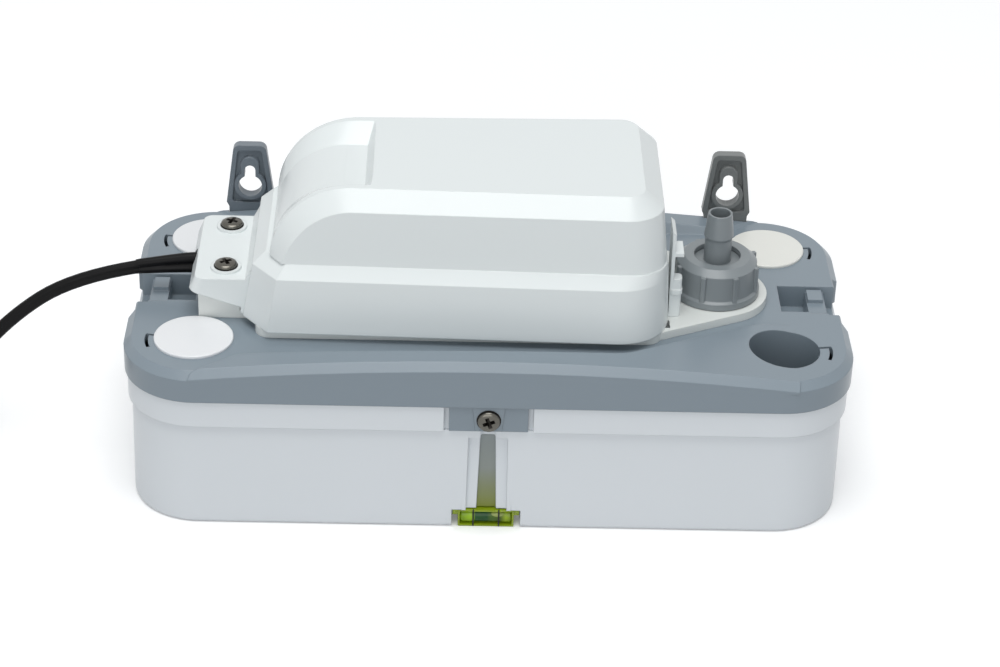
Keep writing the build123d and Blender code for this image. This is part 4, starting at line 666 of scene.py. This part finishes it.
def level_line(name, x):
    """One of the two lines between which the bubble is read."""
    bm = bmesh.new()
    low = (x - LINE_HALF, LEVEL_FRONT - 0.03 * MM, 0.15 * MM)
    block(bm, low, (x + LINE_HALF, LEVEL_FRONT + 0.8 * MM, LEVEL_TOP + 0.02 * MM))
    return mesh_object(name, bm)


def level_bubble(name):
    """The bubble, a long ball near the top of the vial's front."""
    bm = bmesh.new()
    arc = [math.radians(angle) for angle in range(-75, 90, 15)]
    lathe(bm, [(0, -1)] + [(math.cos(angle), math.sin(angle)) for angle in arc] + [(0, 1)], 28)
    piece = mesh_object(name, bm)
    piece.data.transform(Matrix.Diagonal(BUBBLE_RADII))
    place(piece, Vector((BUBBLE_X, VIAL_Y - VIAL_R * 0.62, VIAL_Z + VIAL_R * 0.36)), (1, 0, 0))
    shade_smooth(piece, 80)
    return piece


finish_piece(level_body("level_body"), LEVEL_BODY, "tank")
finish_piece(level_vial("level_vial"), LEVEL_FLUID, "tank")
for name, x in LINES.items():
    finish_piece(level_line(name, x), LEVEL_LINE, "tank")
finish_piece(level_bubble("level_bubble"), BUBBLE, "tank")

# ---- sight channel: the darker strip down the groove, in mm ---------------------------------------
CHANNEL_FRONT = -58.6                # its face, before the flank is widened
CHANNEL_BACK = 0.3                   # behind the face
CHANNEL_HALVES = ((8.1, 3.7), (14, 3.55), (20, 3.4), (27, 3.2), (34, 3.0), (39.6, 2.85), (40.4, 2.4))


def channel_ring(z, half):
    """A slightly crowned section of the strip at a height."""
    y = CHANNEL_FRONT - flank_offset(z)
    front = [(-half, -0.05), (-half * 0.6, -0.18), (0, -0.22), (half * 0.6, -0.18), (half, -0.05)]
    outline = [(-half, CHANNEL_BACK)] + front + [(half, CHANNEL_BACK)]
    return [(x * MM, (y + out) * MM, z * MM) for x, out in outline]


channel = loft("sight_channel", [channel_ring(z, half) for z, half in CHANNEL_HALVES])
shade_smooth(channel, 50)
finish_piece(channel, CHANNEL_WITH_REFLECTION, "tank")

# ---- power cord, its points in mm -----------------------------------------------------------------
CORD_D = 5.5 * MM
CORD_FLATNESS = 0.64                 # width of the twin section, as a share of its height
CORD_ROUTE = [
    (-137, -0.6, 77.8),
    (-163, -1.5, 73),
    (-190, -3, 54),
    (-211, -4, 27.5),
    (-228, -4, 9),
    (-240, -3, 3.2),
]
COIL_X = -252
COIL_Y = 34
COIL_R = 31.5
COIL_START = -90
COIL_TURNS = 8
POINTS_PER_TURN = 16
CROSSING = 0.75                      # share of a turn after which it moves over to the next one's place
TAIL_TURNS = (                       # (turn, height) of the end that rises over the coil to the plug
    (270, 19.25),
    (245, 19.25),
    (220, 19.25),
    (195, 19.2),
    (175, 19.7),
    (155, 21.6),
    (138, 24.4),
    (123, 25.7),
)


def twin_outline(width, height, steps=10):
    """Outline of the twin cord's section: two lobes, one above the other, with a groove between."""
    lobe = min(width / 2, height / 3.3)
    offset = height / 2 - lobe
    squeeze = width / 2 / lobe
    waist = math.degrees(math.asin(min(1, offset / lobe))) * 0.86
    points = []
    for centre, start in ((offset, -waist), (-offset, 180 - waist)):
        for step in range(steps + 1):
            turn = math.radians(start + step * (180 + 2 * waist) / steps)
            points.append((squeeze * lobe * math.cos(turn), centre + lobe * math.sin(turn)))
    return points


def cord_profile():
    """The twin section as a curve that bevels the cord."""
    curve = bpy.data.curves.new("cord_section", "CURVE")
    spline = curve.splines.new("POLY")
    outline = twin_outline(CORD_FLATNESS * CORD_D, CORD_D)
    spline.points.add(len(outline) - 1)
    for point, (x, y) in zip(spline.points, outline):
        point.co = (x, y, 0, 1)
    spline.use_cyclic_u = True
    section = bpy.data.objects.new("cord_section", curve)
    scene.collection.objects.link(section)
    section.hide_render = True
    section.hide_viewport = True
    return section


def coil_point(turn, radius, height):
    return (
        COIL_X + radius * math.cos(math.radians(turn)),
        COIL_Y + radius * math.sin(math.radians(turn)),
        height,
    )


def coil_points():
    """Turns laid clockwise in three layers, each turn a diameter from the next."""
    pitch = CORD_D / MM
    slots = [(COIL_R + pitch * ring, pitch / 2) for ring in (1, 0, -1)]
    slots += [(COIL_R + pitch * ring, 1.5 * pitch) for ring in (-1, 0, 1)]
    slots += [(COIL_R + pitch * ring, 2.5 * pitch) for ring in (1, 0)]
    slots.append((COIL_R, 3.5 * pitch))
    points = []
    for turn in range(COIL_TURNS):
        (r0, z0), (r1, z1) = slots[turn], slots[turn + 1]
        for step in range(POINTS_PER_TURN):
            share = step / POINTS_PER_TURN
            blend = min(1, max(0, (share - CROSSING) / (1 - CROSSING)))
            blend = blend * blend * (3 - 2 * blend)
            radius, height = r0 + (r1 - r0) * blend, z0 + (z1 - z0) * blend
            points.append(coil_point(COIL_START - 360 * (turn + share), radius, height))
    return points


cord_points = CORD_ROUTE + coil_points()
cord_points += [coil_point(turn, COIL_R, height) for turn, height in TAIL_TURNS]
curve = bpy.data.curves.new("power_cord", "CURVE")
curve.dimensions = "3D"
curve.twist_mode = "Z_UP"
curve.resolution_u = 8
curve.bevel_mode = "OBJECT"
curve.bevel_object = cord_profile()
curve.use_fill_caps = True
spline = curve.splines.new("NURBS")
spline.points.add(len(cord_points) - 1)
for point, (x, y, z) in zip(spline.points, cord_points):
    point.co = (x * MM, y * MM, z * MM, 1)
spline.order_u = 3
spline.use_endpoint_u = True
cord = bpy.data.objects.new("power_cord", curve)
scene.collection.objects.link(cord)
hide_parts("cord", "cord_coil", "cord_tail")
finish_piece(cord, SHEATH, "tank")


# strain relief: the twin section, moulded larger at the neck and tapering into the cord, as
# (x, y, z, width, height)
RELIEF = (
    (-107, 0, 79.8, 4.4, 8.6),
    (-116, 0, 79.75, 4.4, 8.6),
    (-119, -0.05, 79.6, 4.3, 8.4),
    (-125, -0.2, 79.1, 4.0, 7.7),
    (-131, -0.4, 78.5, 3.75, 7.0),
    (-137, -0.55, 77.85, 3.6, 6.3),
    (-138.6, -0.6, 77.6, 3.55, 6.0),
)
sections = []
for x, y, z, width, height in RELIEF:
    sections.append([
        (x * MM, y * MM + across, z * MM + rise)
        for across, rise in twin_outline(width * MM, height * MM)
    ])
relief = loft("cord_strain_relief", sections)
shade_smooth(relief)
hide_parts("strain_relief")
finish_piece(relief, SHEATH, "tank")


TIE_TURN = -35
TIE_WIDTH = 5 * MM
TIE_THICK = 0.7 * MM
TIE_REACH = 8.6 * MM                 # either side of the coil's middle radius
TIE_LOW, TIE_HIGH = 0.35 * MM, 17.1 * MM
TIE_CORNER = 2.2 * MM


def strap(name, turn, width, thick):
    """A flat strap in a closed loop round the coil's turns."""
    way = math.radians(turn)
    inner, outer = COIL_R * MM - TIE_REACH, COIL_R * MM + TIE_REACH
    low, high = TIE_LOW, TIE_HIGH
    corner = TIE_CORNER
    line = []
    for x, z, start in ((outer - corner, high - corner, 0), (inner + corner, high - corner, 90),
                        (inner + corner, low + corner, 180), (outer - corner, low + corner, 270)):
        for step in range(7):
            bend = math.radians(start + step * 15)
            out_x, out_z = math.cos(bend), math.sin(bend)
            line.append((x + corner * out_x, z + corner * out_z, out_x, out_z))
    centre = Vector((COIL_X * MM, COIL_Y * MM, 0))
    along = Vector((math.cos(way), math.sin(way), 0))
    aside = Vector((-math.sin(way), math.cos(way), 0))
    bm = bmesh.new()
    rings = []
    for r, z, nr, nz in line:
        ring = []
        for side, lift in ((-1, 0), (1, 0), (1, 1), (-1, 1)):
            radius, height = r + nr * (lift - 0.5) * thick, z + nz * (lift - 0.5) * thick
            across = aside * side * width / 2
            ring.append(bm.verts.new(centre + along * radius + across + Vector((0, 0, height))))
        rings.append(ring)
    for k in range(len(rings)):
        low_ring, high_ring = rings[k], rings[(k + 1) % len(rings)]
        for i in range(4):
            j = (i + 1) % 4
            bm.faces.new((low_ring[i], low_ring[j], high_ring[j], high_ring[i]))
    bmesh.ops.recalc_face_normals(bm, faces=bm.faces)
    return mesh_object(name, bm)


tie = strap("cord_tie", TIE_TURN, TIE_WIDTH, TIE_THICK)
shade_smooth(tie, 50)
finish_piece(tie, SWITCH, "tank")

# ---- camera ---------------------------------------------------------------------------------------
AZIMUTH = math.radians(-1.47)
ELEVATION = math.radians(31.08)
ROLL = math.radians(1.87)
DISTANCE = 1.09511
TARGET = Vector((0.0048, 0.0, 0.04988))
LENS = 99.034


def way_from(azimuth, elevation):
    """The way out from the object's front, turned to an azimuth and raised to an elevation."""
    return Vector((
        math.sin(azimuth) * math.cos(elevation),
        -math.cos(azimuth) * math.cos(elevation),
        math.sin(elevation),
    ))


back = way_from(AZIMUTH, ELEVATION)
right = (-back).cross(Vector((0, 0, 1))).normalized()
up = right.cross(-back)
rolled_right = math.cos(ROLL) * right + math.sin(ROLL) * up
rolled_up = -math.sin(ROLL) * right + math.cos(ROLL) * up
camera_data = bpy.data.cameras.new("camera")
camera_data.lens = LENS
camera_data.sensor_width = 36
camera = bpy.data.objects.new("camera", camera_data)
scene.collection.objects.link(camera)
camera.matrix_world = Matrix.Translation(TARGET + back * DISTANCE) @ Matrix(
    (rolled_right, rolled_up, back)
).transposed().to_4x4()
scene.camera = camera

# ---- light and floor ------------------------------------------------------------------------------
scene.view_settings.view_transform = "Standard"
SEEN_RAYS = ("Is Camera Ray", "Is Glossy Ray", "Is Transmission Ray")
AMBIENT = 0.36
AMBIENT_TINT = (0.95, 0.99, 1.04, 1)
WHITE = (1, 1, 1, 1)
FLOOR_SIZE = 4
FLOOR_LIT = (0.62, 0.62, 0.62, 1)    # what the floor sends back to the object
FLOOR_SEEN = (0.99, 0.99, 0.99, 1)   # what the camera and reflections see
FLOOR_GLOW = 0.12                    # added for the seen rays alone, so that the floor reads white


def seen_mask(tree):
    """1 for the rays that show a surface to the camera, 0 for those that carry light."""
    rays = tree.nodes.new("ShaderNodeLightPath")
    mask = rays.outputs[SEEN_RAYS[0]]
    for kind in SEEN_RAYS[1:]:
        either = tree.nodes.new("ShaderNodeMath")
        either.operation = "MAXIMUM"
        tree.links.new(mask, either.inputs[0])
        tree.links.new(rays.outputs[kind], either.inputs[1])
        mask = either.outputs[0]
    return mask


def studio_world():
    """Soft light from all round, with a white background behind what the camera sees."""
    world = bpy.data.worlds.new("studio")
    world.use_nodes = True
    tree = world.node_tree
    ambient = tree.nodes["Background"]
    ambient.inputs["Color"].default_value = AMBIENT_TINT
    ambient.inputs["Strength"].default_value = AMBIENT
    paper = tree.nodes.new("ShaderNodeBackground")
    paper.inputs["Color"].default_value = WHITE
    paper.inputs["Strength"].default_value = 1.0
    choice = tree.nodes.new("ShaderNodeMixShader")
    tree.links.new(seen_mask(tree), choice.inputs["Fac"])
    tree.links.new(ambient.outputs["Background"], choice.inputs[1])
    tree.links.new(paper.outputs["Background"], choice.inputs[2])
    tree.links.new(choice.outputs["Shader"], tree.nodes["World Output"].inputs["Surface"])
    return world


def disc_lamp(name, way, distance, size, energy, color=(1, 1, 1)):
    """A round soft lamp that shines on the origin from a way and a distance."""
    light = bpy.data.lights.new(name, "AREA")
    light.shape = "DISK"
    light.size = size
    light.energy = energy
    light.color = color
    lamp = bpy.data.objects.new(name, light)
    scene.collection.objects.link(lamp)
    lamp.location = way * distance
    lamp.rotation_euler = way.to_track_quat("Z", "Y").to_euler()


def floor_paper():
    """Matt paper that looks white and sends back less light than it shows."""
    surface = Surface("floor_paper", (0.95, 0.95, 0.95), 0.9)
    shade = surface.tree.nodes.new("ShaderNodeMix")
    shade.data_type = "RGBA"
    shade.inputs["A"].default_value = FLOOR_LIT
    shade.inputs["B"].default_value = FLOOR_SEEN
    surface.link(seen_mask(surface.tree), shade.inputs["Factor"])
    surface.link(shade.outputs["Result"], surface.shader.inputs["Base Color"])
    surface.shader.inputs["Specular IOR Level"].default_value = 0.0
    glow = surface.tree.nodes.new("ShaderNodeMath")
    glow.operation = "MULTIPLY"
    glow.inputs[1].default_value = FLOOR_GLOW
    surface.link(seen_mask(surface.tree), glow.inputs[0])
    surface.shader.inputs["Emission Color"].default_value = WHITE
    surface.link(glow.outputs[0], surface.shader.inputs["Emission Strength"])
    return surface


scene.world = studio_world()
disc_lamp("key_light", way_from(math.radians(-8), math.radians(79)), 2.5, 2.0, 41, (1.0, 1.0, 0.985))
disc_lamp("fill_light", Vector((-0.15, -0.95, 0.3)).normalized(), 2.6, 2.2, 19)

bm = bmesh.new()
bmesh.ops.create_grid(bm, x_segments=1, y_segments=1, size=FLOOR_SIZE)
floor = mesh_object("floor", bm)
floor.data.materials.append(floor_paper().material)
